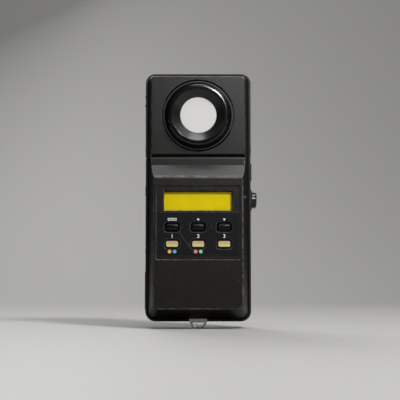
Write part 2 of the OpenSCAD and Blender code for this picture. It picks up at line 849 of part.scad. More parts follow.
module head_front_form() {
  hull() {
    slice(slice_t) polygon(outline(front_half(head_half, 0), head_base, front_crown(0),
                                   head_corner_r, crown_r - front_inset));
    slice(neck_d - head_chamfer)
      polygon(outline(front_half(head_half, neck_d - head_chamfer), head_base,
                      front_crown(neck_d - head_chamfer), head_corner_r,
                      crown_r - front_inset - crown_ease_mid));
    for (s = rounding(neck_d, neck_r))
      slice(s[0]) polygon(outline(front_half(head_half, s[0]) - s[1],
                                  head_base + head_chamfer + s[0] - neck_d,
                                  front_crown(s[0]) - s[1], head_corner_r,
                                  crown_r - front_inset - crown_ease_front));
  }
}

module head_front_cavity() {
  inner = neck_d - head_wall;
  hull() {
    slice(-over + slice_t) polygon(outline(front_half(head_half, 0) - side_wall, head_base + joint_wall,
                                           front_crown(0) - side_wall, corner_r,
                                           crown_r - front_inset - side_wall));
    slice(inner) polygon(outline(front_half(head_half, inner) - side_wall, head_base + joint_wall,
                                 front_crown(inner) - side_wall, corner_r, inner_corner_r));
  }
}

module head_front_cover() {
  color(case_black) difference() {
    union() {
      difference() {
        head_front_form();
        head_front_cavity();
      }
      for (z = [head_post_low, head_post_high])
        both_sides(head_post_x) rod(0, z, post_r, 0, neck_d - head_wall + slice_t);
    }
    for (z = [head_post_low, head_post_high])
      both_sides(head_post_x) rod(0, z, screw_r + fit, -over, head_screw_reach + fit);
    rod(0, receptor_z, face_hole_r, neck_d - head_wall - over, neck_d + over);
    ring_screw_places() rod(0, 0, ring_screw_r + fit, neck_d - head_wall - over,
                            neck_d - ring_screw_end + fit);
  }
}

// Places of the four screws that hold the mount ring, beside the opening
module ring_screw_places() {
  for (side = [-1, 1])
    for (up = [-1, 1])
      translate([side * ring_screw_at * cos(ring_screw_turn), 0,
                 receptor_z + up * ring_screw_at * sin(ring_screw_turn)]) children();
}

module head_rear_cover() {
  color(case_black) difference() {
    union() {
      difference() {
        union() {
          rear_form(head_half, head_base, crown_z, head_corner_r, crown_r, 0, 1, 0, 0);
          pads(head_pads, head_half, head_base);
        }
        slab(0, rim_h + over)
          polygon(outline(head_half - rim_t, head_base - over, crown_z - rim_t, corner_r, crown_r - rim_t));
        slab(-back_inner, over)
          polygon(outline(head_half - ledge, head_base + joint_wall, crown_z - ledge, corner_r,
                          crown_r - ledge));
      }
      for (z = [head_post_low, head_post_high])
        both_sides(head_post_x) rod(0, z, rear_post_r, -back_inner - slice_t, -slice_t);
      for (z = [sensor_post_low, sensor_post_high])
        both_sides(sensor_post_x) rod(0, z, post_r, -back_inner - slice_t, sensor_back);
      both_sides(peg_x) translate([0, plug_y, head_base - peg_l]) cylinder(r = peg_r, h = peg_l + slice_t);
    }
    for (z = [head_post_low, head_post_high]) back_bores(head_post_x, z);
    for (z = [sensor_post_low, sensor_post_high])
      both_sides(sensor_post_x) rod(0, z, screw_r + fit, -back_inner, sensor_back + over);
    block(-plug_half - fit, plug_half + fit, -plug_y - plug_w / 2 - fit, -plug_y + plug_w / 2 + fit,
          head_base - over, head_base + joint_wall + over);
  }
}

module receptor_mount_ring() {
  color(case_black) difference() {
    union() {
      turned() polygon([
        [diffuser_flange_r, ring_back], [ring_flat, ring_back], [ring_flat, neck_d - head_wall],
        [ring_r, neck_d - head_wall], [ring_r, neck_d], [bezel_bore_r, neck_d],
        [bezel_bore_r, ring_back + ring_seat], [diffuser_flange_r, ring_back + ring_seat]]);
      intersection() {
        turned() polygon([[ring_r - ring_lug, ring_back], [lug_ring_r, ring_back],
                          [lug_ring_r, neck_d - head_wall], [ring_r - ring_lug, neck_d - head_wall]]);
        block(-lug_ring_r, lug_ring_r, ring_back - over, neck_d, receptor_z - ring_lug_half,
              receptor_z + ring_lug_half);
      }
    }
    ring_screw_places() rod(0, 0, ring_screw_r + fit, ring_back - over, neck_d);
  }
}

module receptor_bezel() {
  front = neck_d + bezel_h;
  color(gloss_black) difference() {
    turned() polygon([
      [bezel_bore_r, neck_d], [bezel_foot_r, neck_d], [bezel_foot_r, neck_d + bezel_skirt],
      [bezel_front_r + 2.5 * bezel_edge, front - 3 * bezel_edge],
      [bezel_front_r + bezel_edge, front - bezel_edge], [bezel_front_r - bezel_edge, front],
      [bezel_bore_r + bezel_lip, front], [bezel_bore_r, front - bezel_lip]]);
    for (a = [-nick_turn, 180 + nick_turn])
      translate([0, 0, receptor_z]) rotate([0, -a, 0])
        block(bezel_front_r - bezel_edge, bezel_foot_r, front - nick_d, front + over,
              -nick_w / 2, nick_w / 2);
  }
}

module receptor_cone() {
  color(gloss_black) turned() polygon([
    [cone_r, flange_front + fit], [cone_r, diffuser_front - cone_sink],
    [bezel_bore_r - fit, neck_d + bezel_h - 2 * cone_sink], [bezel_bore_r - fit, ring_back + ring_seat],
    [diffuser_flange_r + fit, ring_back + ring_seat], [diffuser_flange_r + fit, flange_front + fit]]);
}

module diffuser() {
  color("#f0efe8") turned() polygon([
    [0, flange_back], [diffuser_flange_r, flange_back], [diffuser_flange_r, flange_front],
    [cone_r - fit, flange_front], [cone_r - fit, diffuser_front - diffuser_edge],
    [cone_r - fit - diffuser_edge, diffuser_front],
    [0, diffuser_front]]);
}

module diffuser_retainer() {
  inner = tube_r + tube_wall + fit;
  outer = diffuser_flange_r + retainer_lap;
  color(gloss_black) turned() polygon([
    [inner, retainer_back], [outer, retainer_back], [outer, ring_back],
    [diffuser_flange_r - fit, ring_back], [diffuser_flange_r - fit, flange_back], [inner, flange_back]]);
}

module light_tube() {
  color("white") turned() polygon([
    [tube_r, holder_front], [tube_r + tube_wall, holder_front], [tube_r + tube_wall, flange_back],
    [tube_r, flange_back]]);
}

// Places of the three filters and their photocells
module cell_place(i) {
  translate([cell_pitch_r * cos(90 + 120 * i), 0,
             receptor_z + cell_pitch_r * sin(90 + 120 * i)]) children();
}

module cell_holder() {
  color(gloss_black) difference() {
    turned() polygon([
      [0, holder_back], [holder_r, holder_back], [holder_r, holder_front + holder_lip],
      [tube_r + tube_wall + fit, holder_front + holder_lip], [tube_r + tube_wall + fit, holder_front],
      [0, holder_front]]);
    for (i = [0 : 2]) cell_place(i) rod(0, 0, cell_r + fit, holder_back - over, holder_front + over);
  }
}

module colour_filter(i, tint) {
  color(tint) cell_place(i)
    rod(0, 0, cell_r, holder_front - filter_sink - filter_t, holder_front - filter_sink);
}

module filter_blue() { colour_filter(0, "#2748b0"); }

module filter_green() { colour_filter(1, "#2b9a4a"); }

module filter_red() { colour_filter(2, "#b02c2a"); }

module photocells() {
  color("#5a4a3c") for (i = [0 : 2])
    cell_place(i) rod(0, 0, cell_r, holder_back, holder_front - filter_sink - filter_t - fit);
}

module sensor_board() {
  color(board_green) difference() {
    block(-sensor_half, sensor_half, sensor_back, sensor_front, sensor_z0, sensor_z1);
    for (z = [sensor_post_low, sensor_post_high])
      both_sides(sensor_post_x) rod(0, z, screw_r + shank_clear, sensor_back - over, sensor_front + over);
    head_post_cuts();
  }
}

// Corners of the sensor board, cut away around the posts of the head
module head_post_cuts() {
  for (z = [head_post_low, head_post_high])
    both_sides(head_post_x) rod(0, z, post_r + post_room, sensor_back - over, sensor_front + over);
}

module sensor_chips() {
  color("#1b1b1c") for (c = sensor_chip_places)
    block(c[0] - c[2] / 2, c[0] + c[2] / 2, sensor_back - sensor_chip_t, sensor_back,
          sensor_z0 + c[1], sensor_z0 + c[1] + c[3]);
}

module head_plug() {
  flange_d = plug_w / 2 + plug_flange_d;
  color(gloss_black) {
    block(-plug_half, plug_half, -plug_y - plug_w / 2, -plug_y + plug_w / 2, plug_foot,
          head_base + joint_wall + slice_t);
    block(-plug_half - plug_flange, plug_half + plug_flange, -plug_y - flange_d, -plug_y + flange_d,
          head_base + joint_wall, sensor_z0);
  }
}

module plug_pins() {
  color(brass) for (i = [0 : pin_count - 1])
    translate([(i - (pin_count - 1) / 2) * pin_pitch, plug_y, pin_foot])
      cylinder(r = pin_r, h = plug_foot - pin_foot);
}

// Round screw head between two depths, with a cross recess in its front or back face
module screw_head(r, h0, h1, front) {
  arm = r * cross_share;
  sink0 = front ? h1 - cross_d : h0 - over;
  sink1 = front ? h1 + over : h0 + cross_d;
  difference() {
    rod(0, 0, r, h0, h1);
    block(-arm, arm, sink0, sink1, -cross_w / 2, cross_w / 2);
    block(-cross_w / 2, cross_w / 2, sink0, sink1, -arm, arm);
  }
}

module ring_screws() {
  color(metal) ring_screw_places() {
    screw_head(ring_head_r, ring_back - ring_head_t, ring_back, false);
    rod(0, 0, ring_screw_r, ring_back - slice_t, neck_d - ring_screw_end);
  }
}

module sensor_screws() {
  color(metal)
    for (z = [sensor_post_low, sensor_post_high]) both_sides(sensor_post_x) translate([0, 0, z]) {
    screw_head(board_head_r, sensor_front, sensor_front + board_head_t, true);
    rod(0, 0, screw_r, -back_inner + screw_end_gap, sensor_front + slice_t);
  }
}

// A screw from the back at the height z: head, shank and thread, ending at the depth h1
module back_screw(z, h1) {
  translate([0, 0, z]) {
    screw_head(back_head_r, -rear_d + head_bore_d - back_head_t, -rear_d + head_bore_d, false);
    rod(0, 0, shank_r, -rear_d + head_bore_d - slice_t, -shank_gap);
    rod(0, 0, screw_r, -shank_gap - slice_t, h1);
  }
}

module head_screws() {
  color(metal) for (z = [head_post_low, head_post_high])
    both_sides(head_post_x) back_screw(z, head_screw_reach);
}

module case_screws() {
  color(metal) for (z = [case_post_low, case_post_high])
    both_sides(case_post_x) back_screw(z, case_screw_reach);
}

module key_plate() {
  color(gloss_black) difference() {
    slab(plate_seat, plate_level)
      polygon(outline(plate_half - fit, plate_z0 + fit, plate_z1 - fit, corner_r, corner_r));
    for (x = [-key_pitch_x, 0, key_pitch_x])
      for (z = [key_low_z, key_high_z]) {
        key_hole(x, z, key_gap, plate_seat - over, plate_level + over);
        key_hole(x, z, key_gap + plate_lip, plate_level - plate_lip_d, plate_level + over);
      }
  }
}

module display_window() {
  color("#dfe6e4") block(-lcd_half + fit, lcd_half - fit, face_inner - window_t, face_inner,
                         lcd_z0 + window_edge, lcd_z1 - window_edge);
}

module lcd_cell() {
  color("#dccb1e") block(-lcd_half, lcd_half, lcd_back, lcd_front, lcd_z0, lcd_z1);
}

module lcd_reflector() {
  color("#cfd0cc") block(-window_w / 2, window_w / 2, lcd_back - reflector_t, lcd_back,
                         window_z0, window_z1);
}

module lcd_frame() {
  color("#3a3a3c") difference() {
    block(-frame_half, frame_half, board_front, face_inner, frame_z0, frame_z1);
    block(-lcd_half - frame_gap, lcd_half + frame_gap, board_front - over, face_inner + over,
          lcd_z0 - frame_gap, lcd_z1 + frame_gap);
  }
}

module lcd_contact_strips() {
  color("#c8b7b0") for (z = [lcd_z0 + lcd_strip_edge, lcd_z1 - lcd_strip_edge - lcd_strip_t])
    block(-window_w / 2, window_w / 2, board_front, lcd_back, z, z + lcd_strip_t);
}

module key_mat() {
  color("#8f9190") {
    block(-board_half + mat_side, board_half - mat_side, board_front, mat_front,
          key_low_z - mat_low, key_high_z + mat_high);
    for (x = [-key_pitch_x, 0, key_pitch_x])
      for (z = [key_low_z, key_high_z])
        translate([x, -mat_front + slice_t, z]) rotate([90, 0, 0])
          cylinder(r1 = dome_r0, r2 = dome_r1, h = dome_h + slice_t);
  }
}

module main_board() {
  color(board_green) difference() {
    block(-board_half, board_half, board_back, board_front, board_z0, board_z1);
    for (z = [board_post_low, board_post_high])
      both_sides(board_post_x) rod(0, z, screw_r + shank_clear, board_back - over, board_front + over);
  }
}

module board_chips() {
  color("#1b1b1c") for (c = board_chip_places)
    block(c[0] - c[2] / 2, c[0] + c[2] / 2, board_back - board_chip_t, board_back,
          board_z0 + c[1], board_z0 + c[1] + c[3]);
}

module board_screws() {
  color(metal) for (z = [board_post_low, board_post_high]) both_sides(board_post_x) translate([0, 0, z]) {
    screw_head(board_head_r, board_back - board_head_t, board_back, false);
    rod(0, 0, screw_r, board_back - slice_t, face_inner - board_screw_end);
  }
}

module head_socket() {
  half = plug_half + socket_gap;
  y0 = plug_y - plug_w / 2 - socket_gap;
  y1 = plug_y + plug_w / 2 + socket_gap;
  color(gloss_black) difference() {
    block(-half - socket_wall, half + socket_wall, -min(y1 + socket_wall, back_inner), -y0 + socket_wall,
          socket_foot, body_top - joint_wall);
    block(-half, half, -y1, -y0, socket_floor, body_top);
    for (i = [0 : pin_count - 1])
      translate([(i - (pin_count - 1) / 2) * pin_pitch, plug_y, socket_foot - over])
        cylinder(r = pin_r + pin_gap, h = socket_base_t + 2 * over);
  }
}

module socket_contacts() {
  z0 = socket_foot - contact_drop;
  color(brass) for (i = [0 : pin_count - 1]) {
    x = (i - (pin_count - 1) / 2) * pin_pitch;
    block(x - contact_half, x + contact_half, -plug_y - contact_d, -plug_y + contact_d, z0, socket_foot);
    block(x - contact_half, x + contact_half, -plug_y, board_back, z0, z0 + strip_t);
  }
}

module button_switch() {
  end = button_foot_x - button_travel - switch_gap;
  x1 = end - switch_nub_l;
  color("#2a2a2c") {
    block(x1 - switch_l, x1, -back_inner, -side_y + switch_half, button_cz - switch_half,
          button_cz + switch_half);
    side_rod(side_y, button_cz, switch_nub_r, switch_nub_r, x1 - slice_t, end);
  }
}

module power_switch() {
  x1 = slider_foot_x - switch_gap;
  color(metal) block(x1 - power_l, x1, -back_inner, -side_y + power_front,
                     slider_stem_cz - slider_stem_z - slider_travel - power_edge,
                     slider_stem_cz + slider_stem_z + power_edge);
}

module battery() {
  shoulder = cell_body_l / 2 - cell_nub_l;
  color("#b98a3c") {
    side_rod(cell_y, cell_cz, cell_body_r, cell_body_r, -cell_body_l / 2, shoulder);
    side_rod(cell_y, cell_cz, cell_nub_r, cell_nub_r, shoulder - slice_t, cell_body_l / 2);
  }
}

module battery_contact() {
  x0 = cell_body_l / 2 + contact_gap;
  h0 = -cell_y - contact_half_y;
  h1 = -cell_y + contact_half_y;
  color(brass) {
    block(x0, x0 + strip_t, h0, h1, cell_cz - contact_half_z, cell_cz + contact_half_z);
    for (z = [cell_cz - contact_half_z, cell_cz + contact_half_z - strip_t])
      block(x0, bay_end, h0, h1, z, z + strip_t);
  }
}

// Coil that widens from its end at the cell to its seat at the wall of the bay
module battery_spring() {
  steps = 40;
  sides = 6;
  x0 = -bay_end + wire_r;
  x1 = -cell_body_l / 2 - contact_gap - wire_r;
  points = [for (i = [0 : steps]) for (k = [0 : sides - 1])
    let (t = i / steps, a = 360 * spring_turns * t, p = 360 * k / sides,
         r = spring_r0 + (spring_r1 - spring_r0) * t + wire_r * cos(p))
      [x0 + (x1 - x0) * t + wire_r * sin(p), cell_y + r * cos(a), cell_cz + r * sin(a)]];
  walls = [for (i = [0 : steps - 1]) for (k = [0 : sides - 1]) for (half = [0, 1])
    let (a = i * sides + k, b = i * sides + (k + 1) % sides)
      half == 0 ? [a, b, b + sides] : [a, b + sides, a + sides]];
  first = [for (k = [1 : sides - 2]) [0, k + 1, k]];
  last = [for (k = [1 : sides - 2]) [steps * sides, steps * sides + k, steps * sides + k + 1]];
  color(metal) polyhedron(points, concat(walls, first, last));
}

module tripod_socket() {
  color(brass) difference() {
    union() {
      rod(0, base_z + tripod_z, tripod_body_r, -rear_d, -rear_d + tripod_body_l);
      rod(0, base_z + tripod_z, tripod_flange_r, -rear_d, -rear_d + tripod_flange_t);
    }
    rod(0, base_z + tripod_z, tripod_bore_r, -rear_d - over, -rear_d + tripod_depth);
  }
}

module strap_lug() {
  inner = front_foot(lug_t) + side_wall + fit;
  color(metal) slab(-lug_t / 2, lug_t / 2) difference() {
    union() {
      polygon([[-lug_foot, 0], [lug_foot, 0], [lug_half, base_z], [lug_half, inner],
               [-lug_half, inner], [-lug_half, base_z]]);
      translate([-lug_head_half, inner - slice_t]) square([2 * lug_head_half, lug_head_h]);
    }
    polygon([[-lug_foot + lug_bar, lug_bar], [lug_foot - lug_bar, lug_bar],
             [lug_half - lug_bar - lug_taper, base_z - lug_slot_top],
             [-lug_half + lug_bar + lug_taper, base_z - lug_slot_top]]);
  }
}

// A key: crowned or dished cap, flange behind the face wall, stem down to its dome
module key(x, z, tint, crown) {
  flange_back = key_flange_front - key_flange_t;
  color(tint) {
    if (crown)
      intersection() {
        key_cap(x, z);
        key_curve(x, z, key_top - crown_key_r, crown_key_r);
      }
    else
      difference() {
        key_cap(x, z);
        key_curve(x, z, key_top + dish_r - dish_d, dish_r);
      }
    block(x - key_w / 2 - key_flange, x + key_w / 2 + key_flange, flange_back, key_flange_front,
          z - key_h / 2 - key_flange, z + key_h / 2 + key_flange);
    block(x - key_stem_x, x + key_stem_x, key_foot, flange_back + slice_t, z - key_stem_z, z + key_stem_z);
  }
}

// Cap of a key, with a small step around its upper edge
module key_cap(x, z) {
  slab(key_flange_front - slice_t, key_top - key_edge) translate([x, z])
    polygon(outline(key_w / 2, -key_h / 2, key_h / 2, cap_r, cap_r));
  slab(key_top - key_edge - slice_t, key_top) translate([x, z])
    polygon(outline(key_w / 2 - key_edge, -key_h / 2 + key_edge, key_h / 2 - key_edge,
                    cap_r - key_edge, cap_r - key_edge));
}

// Cylinder along X that crowns or dishes a key, its axis at the depth h
module key_curve(x, z, h, r) {
  translate([x - key_w / 2 - over, -h, z]) rotate([0, 90, 0]) cylinder(r = r, h = key_w + 2 * over);
}

module film_key() { key(-key_pitch_x, key_high_z, gloss_black, true); }

module up_key() { key(0, key_high_z, gloss_black, true); }

module down_key() { key(key_pitch_x, key_high_z, gloss_black, true); }

module balance_key() { key(-key_pitch_x, key_low_z, "#d9cba3", false); }

module tint_key() { key(0, key_low_z, "#d9cba3", false); }

module kelvin_key() { key(key_pitch_x, key_low_z, "#d9cba3", false); }

module measuring_button() {
  out = body_half + button_out;
  color(gloss_black) {
    side_rod(side_y, button_cz, button_r + button_flange, button_r + button_flange,
             button_flange_x - button_flange_t, button_flange_x);
    side_rod(side_y, button_cz, button_r, button_r, button_flange_x - slice_t, out - button_edge);
    side_rod(side_y, button_cz, button_r, button_r - button_edge, out - button_edge - slice_t, out);
    side_rod(side_y, button_cz, button_stem_r, button_stem_r, button_foot_x,
             button_flange_x - button_flange_t + slice_t);
  }
}

module power_slider() {
  x0 = body_half - slider_recess + slider_lift;
  x1 = body_half + slider_out;
  h0 = -side_y - slider_depth / 2;
  h1 = -side_y + slider_depth / 2;
  half = slider_h / 2;
  color(gloss_black) difference() {
    union() {
      block(x0, x1 - slider_rib_d, h0, h1, slider_cz - half, slider_cz + half);
      block(x1 - slider_rib_d - slice_t, x1, h0, h1, slider_cz - half + slider_bevel,
            slider_cz + half - slider_bevel);
      block(slider_foot_x, x0 + slice_t, -side_y - slider_stem_y, -side_y + slider_stem_y,
            slider_stem_cz - slider_stem_z, slider_stem_cz + slider_stem_z);
    }
    for (i = [-2 : 2])
      translate([0, 0, slider_cz + i * slider_rib_pitch])
        block(x1 - slider_rib_d, x1 + over, h0 - over, h1 + over, -slider_rib_gap / 2, slider_rib_gap / 2);
  }
}

head_front_cover();
head_rear_cover();
receptor_mount_ring();
receptor_bezel();
receptor_cone();
diffuser();
diffuser_retainer();
light_tube();
cell_holder();
filter_blue();
filter_green();
filter_red();
photocells();
sensor_board();
sensor_chips();
head_plug();
plug_pins();
ring_screws();
sensor_screws();
head_screws();
front_cover();
rear_cover();
key_plate();
display_window();
lcd_cell();
lcd_reflector();
lcd_frame();
lcd_contact_strips();
key_mat();
main_board();
board_chips();
board_screws();
head_socket();
socket_contacts();
button_switch();
power_switch();
battery();
battery_contact();
battery_spring();
tripod_socket();
strap_lug();
case_screws();
film_key();
up_key();
down_key();
balance_key();
tint_key();
kelvin_key();
measuring_button();
power_slider();
battery_cover();
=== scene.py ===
"""Looks of a hand-held colour meter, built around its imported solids.

The solids give the shapes. This script softens their edges, gives every piece its finish,
prints the generic marks on the key plate, and sets up a plain studio.
"""

import json
import logging
import math
from dataclasses import dataclass
from enum import Enum
from functools import lru_cache
from typing import Callable, Iterable, Optional, Union

import bmesh
import bpy
from mathutils import Matrix, Vector

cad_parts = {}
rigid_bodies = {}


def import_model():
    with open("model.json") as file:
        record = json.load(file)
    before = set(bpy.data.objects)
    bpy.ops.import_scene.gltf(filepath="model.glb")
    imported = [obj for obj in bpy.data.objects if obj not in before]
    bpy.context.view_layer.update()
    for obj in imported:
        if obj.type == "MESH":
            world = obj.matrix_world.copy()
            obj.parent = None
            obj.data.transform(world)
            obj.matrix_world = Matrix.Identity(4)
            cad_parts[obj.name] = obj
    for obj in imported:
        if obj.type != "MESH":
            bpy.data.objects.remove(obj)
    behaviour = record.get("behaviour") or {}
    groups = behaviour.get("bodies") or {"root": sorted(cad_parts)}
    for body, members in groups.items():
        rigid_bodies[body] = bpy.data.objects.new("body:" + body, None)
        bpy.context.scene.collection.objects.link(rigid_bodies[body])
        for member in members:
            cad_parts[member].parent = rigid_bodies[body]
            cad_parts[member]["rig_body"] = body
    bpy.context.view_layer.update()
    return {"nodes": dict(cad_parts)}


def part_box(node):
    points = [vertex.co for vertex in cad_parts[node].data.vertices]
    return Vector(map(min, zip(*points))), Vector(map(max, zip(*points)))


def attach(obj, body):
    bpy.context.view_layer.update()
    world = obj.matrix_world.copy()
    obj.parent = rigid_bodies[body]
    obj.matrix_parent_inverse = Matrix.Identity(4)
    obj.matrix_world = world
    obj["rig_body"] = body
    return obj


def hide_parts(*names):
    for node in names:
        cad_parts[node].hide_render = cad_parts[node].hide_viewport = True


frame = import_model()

LOG = logging.getLogger("colour_meter")
MM = 0.001
CASE_BODY = "case"
CORNERS = ((-1, -1), (1, -1), (1, 1), (-1, 1))
KEYS = ("film_key", "up_key", "down_key", "balance_key", "tint_key", "kelvin_key")

# Face attributes that the materials read.
EDGE_WEAR_AND_HIGHLIGHT_LAYER = "edge"
POLISH_LAYER = "polish"
BODY_AND_SHADE_LAYER = "body_and_shade"

# A face whose normal's y is above WALL_Y is a wall, below FRONT_Y it looks to the front, and between the two
# values of RIM_Y it is one of the slanted faces along a front's rim.
WALL_Y = -0.6
FRONT_Y = -0.9
RIM_Y = (-0.96, -0.62)

# What the height of a grain and the value of a plain noise keep within.
GRAIN_SPAN = (0.2, 0.9)
NOISE_SPAN = (0.3, 0.7)

# Which of a Mix node's sockets are those for colours: its share, first and second input, and its output.
MIX_SOCKETS = (0, 6, 7, 2)

# How a copy of a solid is merged: points closer than MERGE_REACH, and faces that meet at less than FLAT_ANGLE
# degrees. NORMAL_WEIGHT is how much large faces rule the shading of their neighbours.
MERGE_REACH = 0.002 * MM
FLAT_ANGLE = 0.4
NORMAL_WEIGHT = 90

Colour = tuple[float, float, float]
Feed = Union[bpy.types.NodeSocket, float, tuple[float, ...]]
Box = tuple[float, float, float, float, float, float]
Given = bpy.types.NodeOutputs
Results = dict[str, bpy.types.NodeSocket]


class Shader:
    """Short ways to add nodes to a node tree and to join them."""

    def __init__(self, tree: bpy.types.NodeTree) -> None:
        """Keeps the tree that the nodes go into."""
        self.tree = tree

    def node(self, kind: str, **settings: object) -> bpy.types.Node:
        """Adds a node.

        Args:
            kind: The node's type name.
            **settings: Properties to set on it.

        Returns:
            The new node.
        """
        made = self.tree.nodes.new(kind)
        for name, value in settings.items():
            setattr(made, name, value)
        return made

    def feed(self, socket: bpy.types.NodeSocket, value: Feed) -> None:
        """Joins another node's output to a socket, or sets its plain value.

        Args:
            socket: The socket.
            value: An output, a number or a colour.
        """
        if isinstance(value, bpy.types.NodeSocket):
            self.tree.links.new(value, socket)
        elif isinstance(value, tuple) and socket.type == "RGBA":
            socket.default_value = (*value[:3], 1.0)
        else:
            socket.default_value = value

    def math(self, operation: str, a: Feed, b: Feed = 0.0, clamp: bool = False) -> bpy.types.NodeSocket:
        """Adds a Math node.

        Args:
            operation: What it works out.
            a: First value.
            b: Second value.
            clamp: Whether the result is kept between 0 and 1.

        Returns:
            The result.
        """
        made = self.node("ShaderNodeMath", operation=operation, use_clamp=clamp)
        self.feed(made.inputs[0], a)
        self.feed(made.inputs[1], b)
        return made.outputs[0]

    def times(self, a: Feed, b: Feed) -> bpy.types.NodeSocket:
        """Multiplies two values."""
        return self.math("MULTIPLY", a, b)

    def plus(self, a: Feed, b: Feed, clamp: bool = False) -> bpy.types.NodeSocket:
        """Adds two values, and keeps the sum between 0 and 1 where it is clamped."""
        return self.math("ADD", a, b, clamp)

    def vector(self, operation: str, a: Feed, b: Feed = (0.0, 0.0, 0.0)) -> bpy.types.NodeSocket:
        """Adds a Vector Math node.

        Args:
            operation: What it works out.
            a: First vector.
            b: Second vector.

        Returns:
            The result, a vector or a plain value.
        """
        made = self.node("ShaderNodeVectorMath", operation=operation)
        self.feed(made.inputs[0], a)
        self.feed(made.inputs[1], b)
        return made.outputs["Value" if operation in ("DOT_PRODUCT", "LENGTH") else "Vector"]

    def band(self, value: Feed, low: Feed, high: Feed, start: float = 0.0, end: float = 1.0) -> bpy.types.NodeSocket:
        """Maps a value smoothly from low and high to start and end.

        Args:
            value: What is mapped.
            low: Where it starts.
            high: Where it ends.
            start: The result up to low.
            end: The result from high.

        Returns:
            The result.
        """
        made = self.node("ShaderNodeMapRange", interpolation_type="SMOOTHSTEP")
        self.feed(made.inputs["Value"], value)
        self.feed(made.inputs["From Min"], low)
        self.feed(made.inputs["From Max"], high)
        made.inputs["To Min"].default_value = start
        made.inputs["To Max"].default_value = end
        return made.outputs["Result"]

    def blend(self, share: Feed, first: Feed, second: Feed, how: str = "MIX") -> bpy.types.NodeSocket:
        """Mixes two colours.

        Args:
            share: Share of the second colour.
            first: First colour.
            second: Second colour.
            how: The way they mix.

        Returns:
            The mixed colour.
        """
        made = self.node("ShaderNodeMix", data_type="RGBA", blend_type=how)
        *sockets, result = MIX_SOCKETS
        for socket, value in zip(sockets, (share, first, second)):
            self.feed(made.inputs[socket], value)
        return made.outputs[result]

    def shaded(self, colour: Feed, shade: Feed) -> bpy.types.NodeSocket:
        """Multiplies a colour by a shade."""
        return self.blend(1.0, colour, shade, "MULTIPLY")

    def noise(self, place: Feed, scale: Feed, detail: float = 2.0, roughness: float = 0.5) -> bpy.types.NodeSocket:
        """Adds a Noise texture.

        Args:
            place: Where it is read.
            scale: Its scale.
            detail: How many finer layers it has.
            roughness: How strong these are.

        Returns:
            Its value.
        """
        made = self.node("ShaderNodeTexNoise")
        self.feed(made.inputs["Vector"], place)
        self.feed(made.inputs["Scale"], scale)
        made.inputs["Detail"].default_value = detail
        made.inputs["Roughness"].default_value = roughness
        return made.outputs["Fac"]

    def cells(self, place: Feed, scale: Feed, feature: str = "F1") -> bpy.types.Node:
        """Adds a Voronoi texture.

        Args:
            place: Where it is read.
            scale: Its scale.
            feature: What it measures.

        Returns:
            The new node.
        """
        made = self.node("ShaderNodeTexVoronoi", feature=feature)
        self.feed(made.inputs["Vector"], place)
        self.feed(made.inputs["Scale"], scale)
        return made

    def split(self, place: Feed) -> bpy.types.NodeOutputs:
        """Splits a place into its X, Y and Z.

        Args:
            place: The place.

        Returns:
            The outputs, named X, Y and Z.
        """
        made = self.node("ShaderNodeSeparateXYZ")
        self.feed(made.inputs[0], place)
        return made.outputs

    def layer(self, name: str) -> bpy.types.NodeSocket:
        """Reads a face attribute."""
        return self.node("ShaderNodeAttribute", attribute_name=name).outputs["Fac"]

    def effect(self, tree: bpy.types.NodeTree, **values: Feed) -> bpy.types.Node:
        """Places a shared effect in a material.

        Args:
            tree: The effect's node group.
            **values: What each of its inputs gets.

        Returns:
            The new node.
        """
        made = self.node("ShaderNodeGroup", node_tree=tree)
        for name, value in values.items():
            self.feed(made.inputs[name], value)
        return made

    def by_grain(self, grain: bpy.types.Node, pit: float, crest: float) -> bpy.types.NodeSocket:
        """Goes from one value in a grain's pits to another on its crests."""
        return self.band(grain.outputs["Height"], *GRAIN_SPAN, pit, crest)


Fill = Callable[[Shader, Given], Results]


def shared_effect(
    name: str, inputs: dict[str, Optional[float]], outputs: tuple[str, ...] = ("Mask",)
) -> Callable[[Fill], Callable[[], bpy.types.NodeTree]]:
    """Turns a function that adds an effect's nodes into one that gives its shared shader node group.

    Args:
        name: The group's name.
        inputs: Each input's default, or None for a vector.
        outputs: The names of the outputs, all plain values.

    Returns:
        The decorator of such a function.
    """

    def wrap(fill: Fill) -> Callable[[], bpy.types.NodeTree]:
        """Wraps the function that adds the nodes.

        Args:
            fill: Adds the nodes and returns what each output carries.

        Returns:
            A function that gives the node group.
        """

        @lru_cache(maxsize=None)
        def group() -> bpy.types.NodeTree:
            """Builds the group once.

            Returns:
                The node group.
            """
            tree = bpy.data.node_groups.new(name, "ShaderNodeTree")
            for title, default in inputs.items():
                kind = "NodeSocketVector" if default is None else "NodeSocketFloat"
                socket = tree.interface.new_socket(name=title, in_out="INPUT", socket_type=kind)
                if default is not None:
                    socket.default_value = default
            for title in outputs:
                tree.interface.new_socket(name=title, in_out="OUTPUT", socket_type="NodeSocketFloat")
            shader = Shader(tree)
            start = shader.node("NodeGroupInput")
            end = shader.node("NodeGroupOutput")
            for title, result in fill(shader, start.outputs).items():
                shader.feed(end.inputs[title], result)
            return tree

        return group

    return wrap


